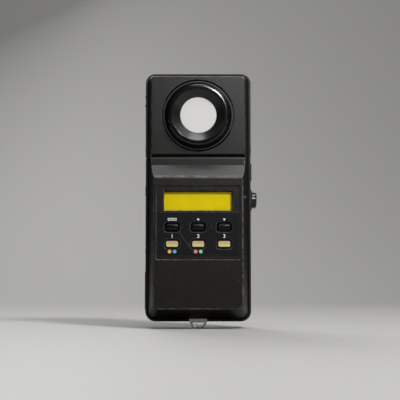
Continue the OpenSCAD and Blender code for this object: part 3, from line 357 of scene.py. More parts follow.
@shared_effect("Moulded grain", {"Place": None, "Scale": 2000.0, "Mottle": 0.4}, ("Height", "Shade"))
def grain_effect(s: Shader, given: Given) -> Results:
    """The eroded grain of a moulding: a height, and a shade that wanders about 1.

    Args:
        s: The shader of the group.
        given: The group's inputs.

    Returns:
        The height and the shade.
    """
    pit_scale, fine_share, pit_share = 0.7, 0.75, 0.35
    cloud_scale, cloud_share, middle_value = 0.035, 1.2, 0.5
    place, scale = given["Place"], given["Scale"]
    fine = s.noise(place, scale, detail=3.0, roughness=0.62)
    pits = s.cells(place, s.times(scale, pit_scale), "SMOOTH_F1").outputs["Distance"]
    height = s.plus(s.times(fine, fine_share), s.times(pits, pit_share))
    cloud = s.noise(place, s.times(scale, cloud_scale), detail=3.0, roughness=0.55)
    drift = s.times(s.math("SUBTRACT", cloud, middle_value), cloud_share)
    wander = s.plus(drift, s.math("SUBTRACT", fine, middle_value))
    return {"Height": height, "Shade": s.plus(1.0, s.times(wander, given["Mottle"]))}


@shared_effect("Dust", {"Place": None, "Scale": 700.0, "Share": 0.05})
def dust_effect(s: Shader, given: Given) -> Results:
    """Scattered specks of dust and a thin film: a mask.

    Args:
        s: The shader of the group.
        given: The group's inputs.

    Returns:
        The mask.
    """
    film_scale, film_cover = 0.06, 0.05
    place, scale = given["Place"], given["Scale"]
    cells = s.cells(place, scale)
    pick = s.node("ShaderNodeSeparateColor")
    s.feed(pick.inputs[0], cells.outputs["Color"])
    kept = s.math("LESS_THAN", pick.outputs[0], given["Share"])
    specks = s.times(kept, s.band(cells.outputs["Distance"], low=0.05, high=0.22, start=1.0, end=0.0))
    film = s.noise(place, s.times(scale, film_scale), detail=4.0, roughness=0.6)
    return {"Mask": s.math("MAXIMUM", specks, s.band(film, low=0.55, high=0.8, end=film_cover))}


@shared_effect("Hairlines", {"Place": None, "Scale": 900.0, "Amount": 0.5})
def hairline_effect(s: Shader, given: Given) -> Results:
    """Fine rubbed lines in two directions: a mask.

    Args:
        s: The shader of the group.
        given: The group's inputs.

    Returns:
        The mask.
    """
    lean, stretch = 0.2, 0.03
    found = []
    for turn, shift in ((0.55, 0.0), (-1.05, 0.37)):
        mapping = s.node("ShaderNodeMapping")
        s.feed(mapping.inputs["Vector"], given["Place"])
        mapping.inputs["Location"].default_value = (shift, shift, shift)
        mapping.inputs["Rotation"].default_value = (0.0, turn, lean)
        mapping.inputs["Scale"].default_value = (1.0, 1.0, stretch)
        found.append(s.band(s.noise(mapping.outputs[0], given["Scale"]), low=0.66, high=0.72))
    return {"Mask": s.times(s.math("MAXIMUM", *found), given["Amount"])}


@shared_effect("Rubbed edge and highlight", {"Place": None, "Scale": 260.0, "Edge": 0.0, "Amount": 0.5})
def wear_and_highlight_effect(s: Shader, given: Given) -> Results:
    """Rubbed edges, which on the covers' rims also serve as a painted highlight: a mask from the edge attribute, broken
    up by noise.

    Args:
        s: The shader of the group.
        given: The group's inputs.

    Returns:
        The mask.
    """
    spots = s.noise(given["Place"], given["Scale"], detail=4.0, roughness=0.6)
    patch = s.band(spots, low=0.42, high=0.62, start=0.25)
    return {"Mask": s.times(s.times(patch, given["Edge"]), given["Amount"])}


@shared_effect("Scratch", {"Place": None, "Start": None, "Finish": None, "Width": 0.1 * MM})
def stroke_effect(s: Shader, given: Given) -> Results:
    """A single scratch between two points, seen from the front: a mask.

    Args:
        s: The shader of the group.
        given: The group's inputs.

    Returns:
        The mask.
    """
    flat, core_share, fade_scale = (1.0, 0.0, 1.0), 0.3, 900.0
    away = s.vector("MULTIPLY", s.vector("SUBTRACT", given["Place"], given["Start"]), flat)
    line = s.vector("MULTIPLY", s.vector("SUBTRACT", given["Finish"], given["Start"]), flat)
    along = s.math("DIVIDE", s.vector("DOT_PRODUCT", away, line), s.vector("DOT_PRODUCT", line, line), clamp=True)
    nearest = s.node("ShaderNodeVectorMath", operation="SCALE")
    s.feed(nearest.inputs[0], line)
    s.feed(nearest.inputs["Scale"], along)
    gap = s.vector("LENGTH", s.vector("SUBTRACT", away, nearest.outputs[0]))
    core = s.band(gap, s.times(given["Width"], core_share), given["Width"], start=1.0, end=0.0)
    fade = s.band(s.noise(given["Place"], fade_scale), low=0.3, high=0.55, start=0.35)
    return {"Mask": s.times(core, fade)}


class Slot(Enum):
    """The record's material slots."""

    CASE = "case_plastic"
    GLOSS = "gloss_black"
    SATIN = "satin_black"
    CREAM = "cream_plastic"
    DIFFUSER = "diffuser_white"
    BLUE = "blue_filter"
    GREEN = "green_filter"
    RED = "red_filter"
    WINDOW = "clear_window"
    DISPLAY = "display_yellow"
    BOARD = "board"
    CHIP = "chip"
    RUBBER = "contact_rubber"
    BRASS = "contact_brass"
    STEEL = "steel"
    SLEEVE = "battery_sleeve"


@dataclass(frozen=True)
class Finish:
    """What every finish has: its name and the record's slot that it belongs to, which nothing in this script uses."""

    name: str
    slot: Slot

    def start(self) -> tuple[bpy.types.Material, Shader, bpy.types.Node, bpy.types.NodeSocket]:
        """Makes an empty material.

        Returns:
            The material, its shader, its Principled node and the object coordinates.
        """
        material = bpy.data.materials.new(self.name)
        material.use_nodes = True
        shader = Shader(material.node_tree)
        body = material.node_tree.nodes["Principled BSDF"]
        place = shader.node("ShaderNodeTexCoord").outputs["Object"]
        return material, shader, body, place

    def bump(self, shader: Shader, body: bpy.types.Node, height: Feed, strength: Feed, depth: float) -> None:
        """Adds relief to a material's normal.

        Args:
            shader: The material's shader.
            body: Its Principled node.
            height: The relief.
            strength: How strong it is.
            depth: How deep it is, in metres.
        """
        node = shader.node("ShaderNodeBump")
        shader.feed(node.inputs["Height"], height)
        shader.feed(node.inputs["Strength"], strength)
        node.inputs["Distance"].default_value = depth
        shader.feed(body.inputs["Normal"], node.outputs[0])

    def material(self) -> bpy.types.Material:
        """The finish as a material, built once."""
        return finished(self)

    def build(self) -> bpy.types.Material:
        """Builds the material."""
        raise NotImplementedError


@lru_cache(maxsize=None)
def finished(finish: Finish) -> bpy.types.Material:
    """Builds each finish once."""
    return finish.build()


@dataclass(frozen=True)
class Plastic(Finish):
    """Moulded plastic with grain, dust, rubbed edges, hairlines and scratches.

    Polished faces lose the grain. Rubbed edges on the covers' rims double as a painted highlight, and marked faces take
    the under colour: painted shade in grooves and in the gaps around keys, and the black body under a cream cap.

    Attributes:
        colour: The moulding's own colour.
        roughness: Roughness where it is grained.
        polished: Roughness of the polished faces.
        specular: How much it mirrors.
        grain: Scale of the grain.
        relief: Strength of the grain's bump.
        mottle: How much the grain shades the colour.
        dust: Share of the cells that hold a speck.
        dust_colour: Colour of the dust.
        worn_and_highlight: Colour of rubbed edges and scratches, which on the covers' rims is also a painted highlight.
        wear_and_highlight: How much the edges are rubbed, and on the covers' rims lit up by that painted highlight.
        hairlines: How much the hairlines show.
        coat: Weight of a clear coat.
        under: Colour of the marked faces: painted shade in a groove, and the near-black of a key's walls, flange and
            stem, partly its black body and partly painted shade in its gap.
        scratches: Each one's two ends, as x and z, and its width, in metres.
        dust_cover: How much of the colour a speck hides.
        dust_rough: How much a speck adds to the roughness.
        line_rough: How much a hairline adds to it.
        scratch_cover: How much of the colour a scratch hides.
        rough_span: What the roughness is multiplied by in the grain's pits and on its crests.
        coat_roughness: Roughness of the clear coat.
        depth: Depth of the grain's bump, in metres.
    """

    colour: Colour
    roughness: float = 0.5
    polished: float = 0.2
    specular: float = 0.4
    grain: float = 2600.0
    relief: float = 0.3
    mottle: float = 0.35
    dust: float = 0.03
    dust_colour: Colour = (0.20, 0.19, 0.17)
    worn_and_highlight: Colour = (0.12, 0.115, 0.11)
    wear_and_highlight: float = 0.5
    hairlines: float = 0.15
    coat: float = 0.0
    under: Optional[Colour] = None
    scratches: tuple[tuple[float, float, float, float, float], ...] = ()
    dust_cover: float = 0.5
    dust_rough: float = 0.3
    line_rough: float = 0.25
    scratch_cover: float = 0.8
    rough_span: tuple[float, float] = (0.85, 1.15)
    coat_roughness: float = 0.12
    depth: float = 0.06 * MM

    def build(self) -> bpy.types.Material:
        """Builds the moulded plastic.

        Returns:
            The material.
        """
        material, s, body, place = self.start()
        rough_share = s.math("SUBTRACT", 1.0, s.layer(POLISH_LAYER), clamp=True)
        grain = s.effect(grain_effect(), Place=place, Scale=self.grain, Mottle=self.mottle)
        colour = s.shaded(self.colour, grain.outputs["Shade"])
        # Rubbed edges; on the covers' rims this lighter colour is also a painted highlight.
        rub_and_highlight = s.effect(wear_and_highlight_effect(), Place=place, Edge=s.layer(EDGE_WEAR_AND_HIGHLIGHT_LAYER), Amount=self.wear_and_highlight).outputs[0]
        colour = s.blend(rub_and_highlight, colour, self.worn_and_highlight)
        dust = s.effect(dust_effect(), Place=place, Share=self.dust).outputs[0]
        colour = s.blend(s.times(dust, self.dust_cover), colour, self.dust_colour)
        for x0, z0, x1, z1, width in self.scratches:
            ends = {"Start": (x0, 0.0, z0), "Finish": (x1, 0.0, z1)}
            stroke = s.effect(stroke_effect(), Place=place, Width=width, **ends).outputs[0]
            colour = s.blend(s.times(stroke, self.scratch_cover), colour, self.worn_and_highlight)
        # Marked faces take the under colour: painted shade in grooves and in the gaps around keys, and the black body
        # under a cream cap.
        if self.under is not None:
            colour = s.blend(s.layer(BODY_AND_SHADE_LAYER), colour, self.under)
        s.feed(body.inputs["Base Color"], colour)
        lines = s.effect(hairline_effect(), Place=place, Amount=self.hairlines).outputs[0]
        level = s.plus(self.polished, s.times(rough_share, self.roughness - self.polished))
        level = s.plus(level, s.times(lines, self.line_rough))
        level = s.times(level, s.by_grain(grain, *self.rough_span))
        level = s.plus(level, s.times(dust, self.dust_rough), clamp=True)
        s.feed(body.inputs["Roughness"], level)
        body.inputs["Specular IOR Level"].default_value = self.specular
        body.inputs["Coat Weight"].default_value = self.coat
        body.inputs["Coat Roughness"].default_value = self.coat_roughness
        self.bump(s, body, grain.outputs["Height"], s.times(rough_share, self.relief), self.depth)
        return material


@dataclass(frozen=True)
class Grained(Finish):
    """An even colour with a faint grain and perhaps dust, such as a printed ink.

    Attributes:
        colour: Its colour.
        grain: Scale of the grain.
        mottle: How much the grain shades the colour.
        rough: Roughness in the grain's pits and on its crests.
        relief: Strength of the grain's bump.
        depth: Depth of that bump, in metres.
        dust: Share of the cells that hold a speck, or 0 for no dust.
        dust_scale: Scale of those cells.
        dust_cover: How much of the colour a speck hides.
        dust_colour: Colour of the dust.
    """

    colour: Colour
    grain: float = 2400.0
    mottle: float = 0.1
    rough: tuple[float, float] = (0.4, 0.55)
    relief: float = 0.05
    depth: float = 0.01 * MM
    dust: float = 0.0
    dust_scale: float = 700.0
    dust_cover: float = 0.3
    dust_colour: Colour = (0.20, 0.19, 0.17)

    def tint(self, s: Shader, place: Feed) -> Feed:
        """The colour before grain and dust."""
        return self.colour

    def extras(self, s: Shader, body: bpy.types.Node, place: Feed) -> None:
        """Sets what only some such finishes have."""

    def build(self) -> bpy.types.Material:
        """Builds the grained finish.

        Returns:
            The material.
        """
        material, s, body, place = self.start()
        grain = s.effect(grain_effect(), Place=place, Scale=self.grain, Mottle=self.mottle)
        colour = s.shaded(self.tint(s, place), grain.outputs["Shade"])
        if self.dust:
            dust = s.effect(dust_effect(), Place=place, Scale=self.dust_scale, Share=self.dust).outputs[0]
            colour = s.blend(s.times(dust, self.dust_cover), colour, self.dust_colour)
        s.feed(body.inputs["Base Color"], colour)
        s.feed(body.inputs["Roughness"], s.by_grain(grain, *self.rough))
        self.bump(s, body, grain.outputs["Height"], self.relief, self.depth)
        self.extras(s, body, place)
        return material


@dataclass(frozen=True)
class Opal(Grained):
    """White light-spreading plastic, a little see-through at its rim.

    Attributes:
        glow: How much of the light goes through it.
        glow_depth: How far that light goes, in metres.
    """

    glow: float = 0.15
    glow_depth: float = 0.6 * MM

    def extras(self, s: Shader, body: bpy.types.Node, place: Feed) -> None:
        """Lets light through."""
        body.inputs["Subsurface Weight"].default_value = self.glow
        body.inputs["Subsurface Scale"].default_value = self.glow_depth


@dataclass(frozen=True)
class Display(Grained):
    """Yellow face of the liquid crystal cell, with its very faint pixel grain.

    Attributes:
        deep: The deeper yellow that it drifts to.
        drift_scale: Scale of that drift.
        specular: How much it mirrors.
    """

    deep: Colour = (0.62, 0.485, 0.001)
    drift_scale: float = 60.0
    specular: float = 0.05

    def tint(self, s: Shader, place: Feed) -> Feed:
        """The two yellows."""
        drift = s.band(s.noise(place, self.drift_scale, detail=3.0, roughness=0.6), low=0.3, high=0.75)
        return s.blend(drift, self.deep, self.colour)

    def extras(self, s: Shader, body: bpy.types.Node, place: Feed) -> None:
        """Keeps it dull."""
        body.inputs["Specular IOR Level"].default_value = self.specular


@dataclass(frozen=True)
class Sleeve(Grained):
    """Printed sleeve of the round cell, in two plain bands along X.

    Attributes:
        second: Colour of the band on the right.
        join: Where the bands meet, in metres.
        metal: How metallic the second band is.
    """

    second: Colour = (0.42, 0.25, 0.07)
    join: float = 11.0 * MM
    metal: float = 0.7

    def on_second(self, s: Shader, place: Feed) -> bpy.types.NodeSocket:
        """1 on the second band."""
        return s.math("GREATER_THAN", s.split(place)["X"], self.join)

    def tint(self, s: Shader, place: Feed) -> Feed:
        """The two bands."""
        return s.blend(self.on_second(s, place), self.colour, self.second)

    def extras(self, s: Shader, body: bpy.types.Node, place: Feed) -> None:
        """Makes the second band metallic."""
        s.feed(body.inputs["Metallic"], s.times(self.on_second(s, place), self.metal))


@dataclass(frozen=True)
class Metal(Finish):
    """Bare metal with drawn lines, tarnish and a fine grain.

    Attributes:
        colour: The clean metal's colour.
        roughness: The clean metal's roughness.
        tarnish: Colour of the tarnish.
        age: How much tarnish there is.
        patch_scale, line_scale, grain_scale: Scales of tarnish, drawn lines and grain.
        line_rough, patch_rough: What lines and tarnish add to the roughness.
        relief: Strength of the grain's bump.
        depth: Depth of that bump, in metres.
    """

    colour: Colour
    roughness: float = 0.25
    tarnish: Colour = (0.25, 0.22, 0.18)
    age: float = 0.25
    patch_scale: float = 500.0
    line_scale: float = 2500.0
    grain_scale: float = 3000.0
    line_rough: float = 0.12
    patch_rough: float = 0.6
    relief: float = 0.08
    depth: float = 0.02 * MM

    def build(self) -> bpy.types.Material:
        """Builds the metal.

        Returns:
            The material.
        """
        material, s, body, place = self.start()
        spots = s.noise(place, self.patch_scale, detail=4.0, roughness=0.6)
        patch = s.band(spots, low=0.45, high=0.75, end=self.age)
        s.feed(body.inputs["Base Color"], s.blend(patch, self.colour, self.tarnish))
        lines = s.effect(hairline_effect(), Place=place, Scale=self.line_scale, Amount=1.0).outputs[0]
        rough = s.plus(self.roughness, s.times(lines, self.line_rough))
        s.feed(body.inputs["Roughness"], s.plus(rough, s.times(patch, self.patch_rough), clamp=True))
        body.inputs["Metallic"].default_value = 1.0
        self.bump(s, body, s.noise(place, self.grain_scale), self.relief, self.depth)
        return material


@dataclass(frozen=True)
class Pane(Finish):
    """Thin clear window: what shows of it is its reflection, dust and hairlines.

    Attributes:
        ior: Index of refraction, which sets how much it mirrors.
        mirror: Colour of what it mirrors.
        roughness: Roughness where it is clean.
        veil_rough: How much dust and lines roughen it.
        dust, dust_scale, dust_cover: Share, scale and cover of the specks.
        lines, line_scale: Cover and scale of the hairlines.
    """

    ior: float = 1.45
    mirror: Colour = (0.9, 0.9, 0.9)
    roughness: float = 0.04
    veil_rough: float = 2.0
    dust: float = 0.03
    dust_scale: float = 900.0
    dust_cover: float = 0.05
    lines: float = 0.015
    line_scale: float = 1200.0

    def build(self) -> bpy.types.Material:
        """Builds the window.

        Returns:
            The material.
        """
        material, s, body, place = self.start()
        sheen = s.node("ShaderNodeFresnel")
        sheen.inputs["IOR"].default_value = self.ior
        facing = s.math("SUBTRACT", 1.0, s.node("ShaderNodeNewGeometry").outputs["Backfacing"])
        dust = s.effect(dust_effect(), Place=place, Scale=self.dust_scale, Share=self.dust).outputs[0]
        lines = s.effect(hairline_effect(), Place=place, Scale=self.line_scale, Amount=self.lines).outputs[0]
        veil = s.math("MAXIMUM", s.times(dust, self.dust_cover), lines)
        s.feed(body.inputs["Alpha"], s.times(s.plus(sheen.outputs[0], veil, clamp=True), facing))
        s.feed(body.inputs["Roughness"], s.plus(self.roughness, s.times(veil, self.veil_rough), clamp=True))
        s.feed(body.inputs["Base Color"], self.mirror)
        body.inputs["Metallic"].default_value = 1.0
        return material


@dataclass(frozen=True)
class Tinted(Finish):
    """Coloured filter glass in front of a photocell.

    Attributes:
        colour: The glass's colour.
        cloud: What the colour is multiplied by, at least and at most.
        cloud_scale: Scale of those clouds.
        rough: Least and most roughness.
        rough_scale: Scale of its patches.
        coat: Weight of its clear coat.
    """

    colour: Colour
    cloud: tuple[float, float] = (0.85, 1.0)
    cloud_scale: float = 400.0
    rough: tuple[float, float] = (0.06, 0.12)
    rough_scale: float = 1500.0
    coat: float = 0.6

    def build(self) -> bpy.types.Material:
        """Builds the filter.

        Returns:
            The material.
        """
        material, s, body, place = self.start()
        cloud = s.band(s.noise(place, self.cloud_scale), *NOISE_SPAN, *self.cloud)
        s.feed(body.inputs["Base Color"], s.shaded(self.colour, cloud))
        s.feed(body.inputs["Roughness"], s.band(s.noise(place, self.rough_scale), *NOISE_SPAN, *self.rough))
        body.inputs["Coat Weight"].default_value = self.coat
        return material


@dataclass(frozen=True)
class Board(Finish):
    """Circuit board: green solder mask over copper tracks, with bare pads.

    Attributes:
        mask, track, pad: Colours of the solder mask, of the tracks under it and of the pads.
        pitches: Tracks for each metre along X and along Z.
        line: Where in its pitch a track starts, and how soft its edge is.
        cut_pitch: Stretches for each metre of a track.
        cut_share: Share of the stretches that are left out.
        pad_scale, pad_scatter, pad_edge: Scale of the pads, how scattered they are, and where each ends.
        rough: Least and most roughness.
        rough_scale: Scale of its patches.
        relief: Strength of the bump.
        depth: Depth of the bump, in metres.
    """

    mask: Colour = (0.018, 0.085, 0.030)
    track: Colour = (0.035, 0.15, 0.05)
    pad: Colour = (0.55, 0.50, 0.38)
    pitches: tuple[float, float] = (430.0, 390.0)
    line: tuple[float, float] = (0.28, 0.06)
    cut_pitch: float = 90.0
    cut_share: float = 0.45
    pad_scale: float = 230.0
    pad_scatter: float = 0.6
    pad_edge: tuple[float, float] = (0.10, 0.14)
    rough: tuple[float, float] = (0.28, 0.4)
    rough_scale: float = 900.0
    relief: float = 0.3
    depth: float = 0.03 * MM

    def tracks(self, s: Shader, across: Feed, along: Feed, pitch: float) -> bpy.types.NodeSocket:
        """Tracks in one direction, cut into stretches: a mask.

        Args:
            s: The material's shader.
            across: The place across the tracks.
            along: The place along them.
            pitch: Tracks for each metre.

        Returns:
            The mask.
        """
        start, soft = self.line
        turns = s.math("FRACT", s.times(across, pitch))
        rise = s.band(turns, start, start + soft)
        fall = s.band(turns, 1.0 - start - soft, 1.0 - start, start=1.0, end=0.0)
        spot = s.node("ShaderNodeCombineXYZ")
        s.feed(spot.inputs[0], s.math("FLOOR", s.times(across, pitch)))
        s.feed(spot.inputs[1], s.math("FLOOR", s.times(along, self.cut_pitch)))
        cut = s.node("ShaderNodeTexWhiteNoise", noise_dimensions="2D")
        s.feed(cut.inputs["Vector"], spot.outputs[0])
        return s.times(s.times(rise, fall), s.math("GREATER_THAN", cut.outputs["Value"], self.cut_share))

    def build(self) -> bpy.types.Material:
        """Builds the board.

        Returns:
            The material.
        """
        material, s, body, place = self.start()
        parts = s.split(place)
        x, z = parts["X"], parts["Z"]
        both = [self.tracks(s, *ways, pitch) for ways, pitch in zip(((x, z), (z, x)), self.pitches)]
        tracks = s.math("MAXIMUM", *both)
        cells = s.cells(place, self.pad_scale)
        cells.inputs["Randomness"].default_value = self.pad_scatter
        pads = s.band(cells.outputs["Distance"], *self.pad_edge, start=1.0, end=0.0)
        s.feed(body.inputs["Base Color"], s.blend(pads, s.blend(tracks, self.mask, self.track), self.pad))
        s.feed(body.inputs["Metallic"], pads)
        s.feed(body.inputs["Roughness"], s.band(s.noise(place, self.rough_scale), *NOISE_SPAN, *self.rough))
        self.bump(s, body, s.math("MAXIMUM", tracks, pads), self.relief, self.depth)
        return material


# Near-black colours: painted shade for the walls of the groove around the receptor ring, and for the keys' walls,
# flange and stem, which are partly the keys' black body and partly painted shade in the gaps around them.
GROOVE_SHADE = (0.0006, 0.0006, 0.0006)
KEY_BODY_AND_GAP_SHADE = (0.002, 0.002, 0.002)

# On the covers, the lighter colour on the rim faces is partly wear and partly a painted highlight, and the groove
# colour is painted shade.
COVER = Plastic(
    "Cover plastic", Slot.CASE, (0.0056, 0.0047, 0.0039), roughness=0.38, polished=0.3, specular=0.24,
    grain=1500.0, relief=1.7, mottle=1.2, wear_and_highlight=0.8, worn_and_highlight=(0.10, 0.095, 0.09), under=GROOVE_SHADE,
)
REAR = Plastic(
    "Rear cover plastic", Slot.CASE, (0.0080, 0.0070, 0.0062), roughness=0.45, specular=0.25, grain=2200.0,
    worn_and_highlight=(0.09, 0.075, 0.06),
)
RING = Plastic(
    "Ring plastic", Slot.CASE, (0.0046, 0.0042, 0.0038), roughness=0.38, specular=0.3, grain=1400.0, dust=0.02,
    under=GROOVE_SHADE,
)
BEZEL = Plastic(
    "Bezel gloss", Slot.GLOSS, (0.0022, 0.0022, 0.0026), roughness=0.14, polished=0.14, specular=0.5, relief=0.0,
    mottle=0.2, dust=0.035, worn_and_highlight=(0.10, 0.10, 0.10), wear_and_highlight=0.0, hairlines=0.1,
)
CONE = Plastic(
    "Cone satin", Slot.SATIN, (0.0045, 0.0045, 0.0042), roughness=0.3, specular=0.45, relief=0.12, grain=3200.0,
    mottle=0.3, dust=0.03,
)
PLATE = Plastic(
    "Key plate", Slot.GLOSS, (0.0050, 0.0052, 0.0060), roughness=0.32, specular=0.22, relief=0.06, mottle=0.15,
    dust=0.02, worn_and_highlight=(0.10, 0.10, 0.105), wear_and_highlight=0.5, hairlines=0.25,
    scratches=(
        (-0.0130, 0.0659, -0.0102, 0.0615, 0.00016),
        (-0.0102, 0.0615, -0.0062, 0.0558, 0.00022),
        (0.0087, 0.0682, 0.0091, 0.0700, 0.00018),
    ),
)
# The keys' walls, flange and stem take the near-black under colour: painted shade in the gaps, and for the cream keys
# also their black body.
BLACK_KEY = Plastic(
    "Black key", Slot.GLOSS, (0.0022, 0.0022, 0.0026), roughness=0.2, specular=0.2, relief=0.0, mottle=0.1,
    dust=0.02, worn_and_highlight=(0.09, 0.09, 0.09), wear_and_highlight=0.25, hairlines=0.2, under=KEY_BODY_AND_GAP_SHADE,
)
CREAM_KEY = Plastic(
    "Cream key", Slot.CREAM, (0.50, 0.40, 0.175), roughness=0.4, relief=0.05, mottle=0.06, dust=0.05,
    dust_colour=(0.22, 0.18, 0.12), worn_and_highlight=(0.66, 0.58, 0.38), wear_and_highlight=0.4, hairlines=0.1, under=KEY_BODY_AND_GAP_SHADE,
)
BUTTON = Plastic(
    "Button gloss", Slot.GLOSS, (0.0080, 0.0078, 0.0076), roughness=0.22, relief=0.04, dust=0.02, wear_and_highlight=0.4
)
INNER = Plastic(
    "Inner black", Slot.SATIN, (0.014, 0.014, 0.014), roughness=0.45, relief=0.15, dust=0.03, wear_and_highlight=0.2
)
WHITE_TUBE = Plastic(
    "Tube white", Slot.DIFFUSER, (0.70, 0.70, 0.67), roughness=0.5, relief=0.05, mottle=0.03, dust=0.01,
    dust_colour=(0.4, 0.39, 0.36), worn_and_highlight=(0.7, 0.7, 0.68), hairlines=0.05,
)
RUBBER = Plastic(
    "Contact rubber", Slot.RUBBER, (0.18, 0.18, 0.175), roughness=0.7, polished=0.6, specular=0.25, relief=0.1,
    mottle=0.1, dust=0.06, dust_colour=(0.3, 0.29, 0.27), worn_and_highlight=(0.24, 0.24, 0.23),
)
CHIP = Plastic("Chip epoxy", Slot.CHIP, (0.016, 0.016, 0.017), roughness=0.55, grain=4200.0, dust=0.02)
CELL_FACE = Plastic(
    "Photocell", Slot.CHIP, (0.055, 0.035, 0.045), roughness=0.25, relief=0.02, dust=0.01, coat=0.3
)
REFLECTOR = Plastic(
    "Reflector foil", Slot.DISPLAY, (0.62, 0.62, 0.60), roughness=0.4, relief=0.05, mottle=0.04,
    dust_colour=(0.4, 0.4, 0.38), worn_and_highlight=(0.7, 0.7, 0.7),
)
STEEL = Metal("Steel", Slot.STEEL, (0.62, 0.61, 0.59), roughness=0.22)
LUG_STEEL = Metal("Lug steel", Slot.STEEL, (0.34, 0.335, 0.33), roughness=0.24, tarnish=(0.12, 0.11, 0.10))
DARK_STEEL = Metal("Dark steel", Slot.STEEL, (0.10, 0.10, 0.10), roughness=0.3, tarnish=(0.05, 0.045, 0.04))
BRASS = Metal("Brass", Slot.BRASS, (0.66, 0.50, 0.24), roughness=0.28, tarnish=(0.26, 0.17, 0.07))
OPAL = Opal(
    "Opal diffuser", Slot.DIFFUSER, (0.55, 0.545, 0.53), grain=1800.0, mottle=0.03, rough=(0.42, 0.55),
    relief=0.12, depth=0.03 * MM, dust=0.02, dust_scale=520.0, dust_cover=0.12, dust_colour=(0.42, 0.41, 0.38),
)
WINDOW = Pane("Clear window", Slot.WINDOW)
DISPLAY = Display("Display yellow", Slot.DISPLAY, (0.69, 0.54, 0.002), mottle=0.12, rough=(0.5, 0.6))
BLUE_GLASS = Tinted("Blue filter", Slot.BLUE, (0.02, 0.06, 0.45))
GREEN_GLASS = Tinted("Green filter", Slot.GREEN, (0.02, 0.32, 0.07))
RED_GLASS = Tinted("Red filter", Slot.RED, (0.45, 0.03, 0.02))
BOARD = Board("Circuit board", Slot.BOARD)
SLEEVE = Sleeve(
    "Cell sleeve", Slot.SLEEVE, (0.012, 0.012, 0.013), grain=1500.0, mottle=0.08, rough=(0.25, 0.38),
    depth=0.02 * MM,
)


class InkColour(Enum):
    """The printed colours of the marks, and the black of the display's border with its painted shadow."""

    WHITE = (0.72, 0.72, 0.70)
    BLACK = (0.003, 0.003, 0.003)
    AMBER = (0.66, 0.37, 0.07)
    BLUE = (0.07, 0.33, 0.60)
    PINK = (0.58, 0.21, 0.21)
    GREEN = (0.18, 0.55, 0.26)

    def finish(self) -> Grained:
        """The ink of that colour, a little uneven.

        Returns:
            The finish.
        """
        return Grained(
            f"{self.name.title()} ink", Slot.CREAM, self.value, grain=5200.0, mottle=0.18, relief=0.15, dust=0.08,
            dust_scale=1600.0,
        )


@dataclass(frozen=True)
class Soft:
    """Which sharp edges of a piece are softened.

    Attributes:
        width: Width of the bevel, in metres.
        segments: How many faces make it.
        box: Only edges inside these limits (x0, x1, y0, y1, z0, z1), in metres.
        angle: Only edges sharper than this, in degrees.
        convex: Whether inner corners are left as they are.
    """

    width: float = 0.2 * MM
    segments: int = 2
    box: Optional[Box] = None
    angle: float = 50.0
    convex: bool = True

    def chosen(self, bm: bmesh.types.BMesh) -> list[bmesh.types.BMEdge]:
        """The edges of a mesh that this softens.

        Args:
            bm: The mesh.

        Returns:
            Those edges.
        """
        found = []
        for edge in bm.edges:
            if not edge.is_manifold or edge.calc_face_angle(0.0) < math.radians(self.angle):
                continue
            if self.convex and not edge.is_convex:
                continue
            if self.box is None or all(inside(v.co, self.box) for v in edge.verts):
                found.append(edge)
        return found


def inside(point: Vector, box: Box) -> bool:
    """Whether a point lies within limits."""
    return all(box[2 * i] <= point[i] <= box[2 * i + 1] for i in range(3))


def on_rim(face: bmesh.types.BMFace, area: float) -> bool:
    """Whether a face is one of the slanted ones along a front's rim, no larger than an area in square metres."""
    return RIM_Y[0] < face.normal.y < RIM_Y[1] and face.calc_area() < area


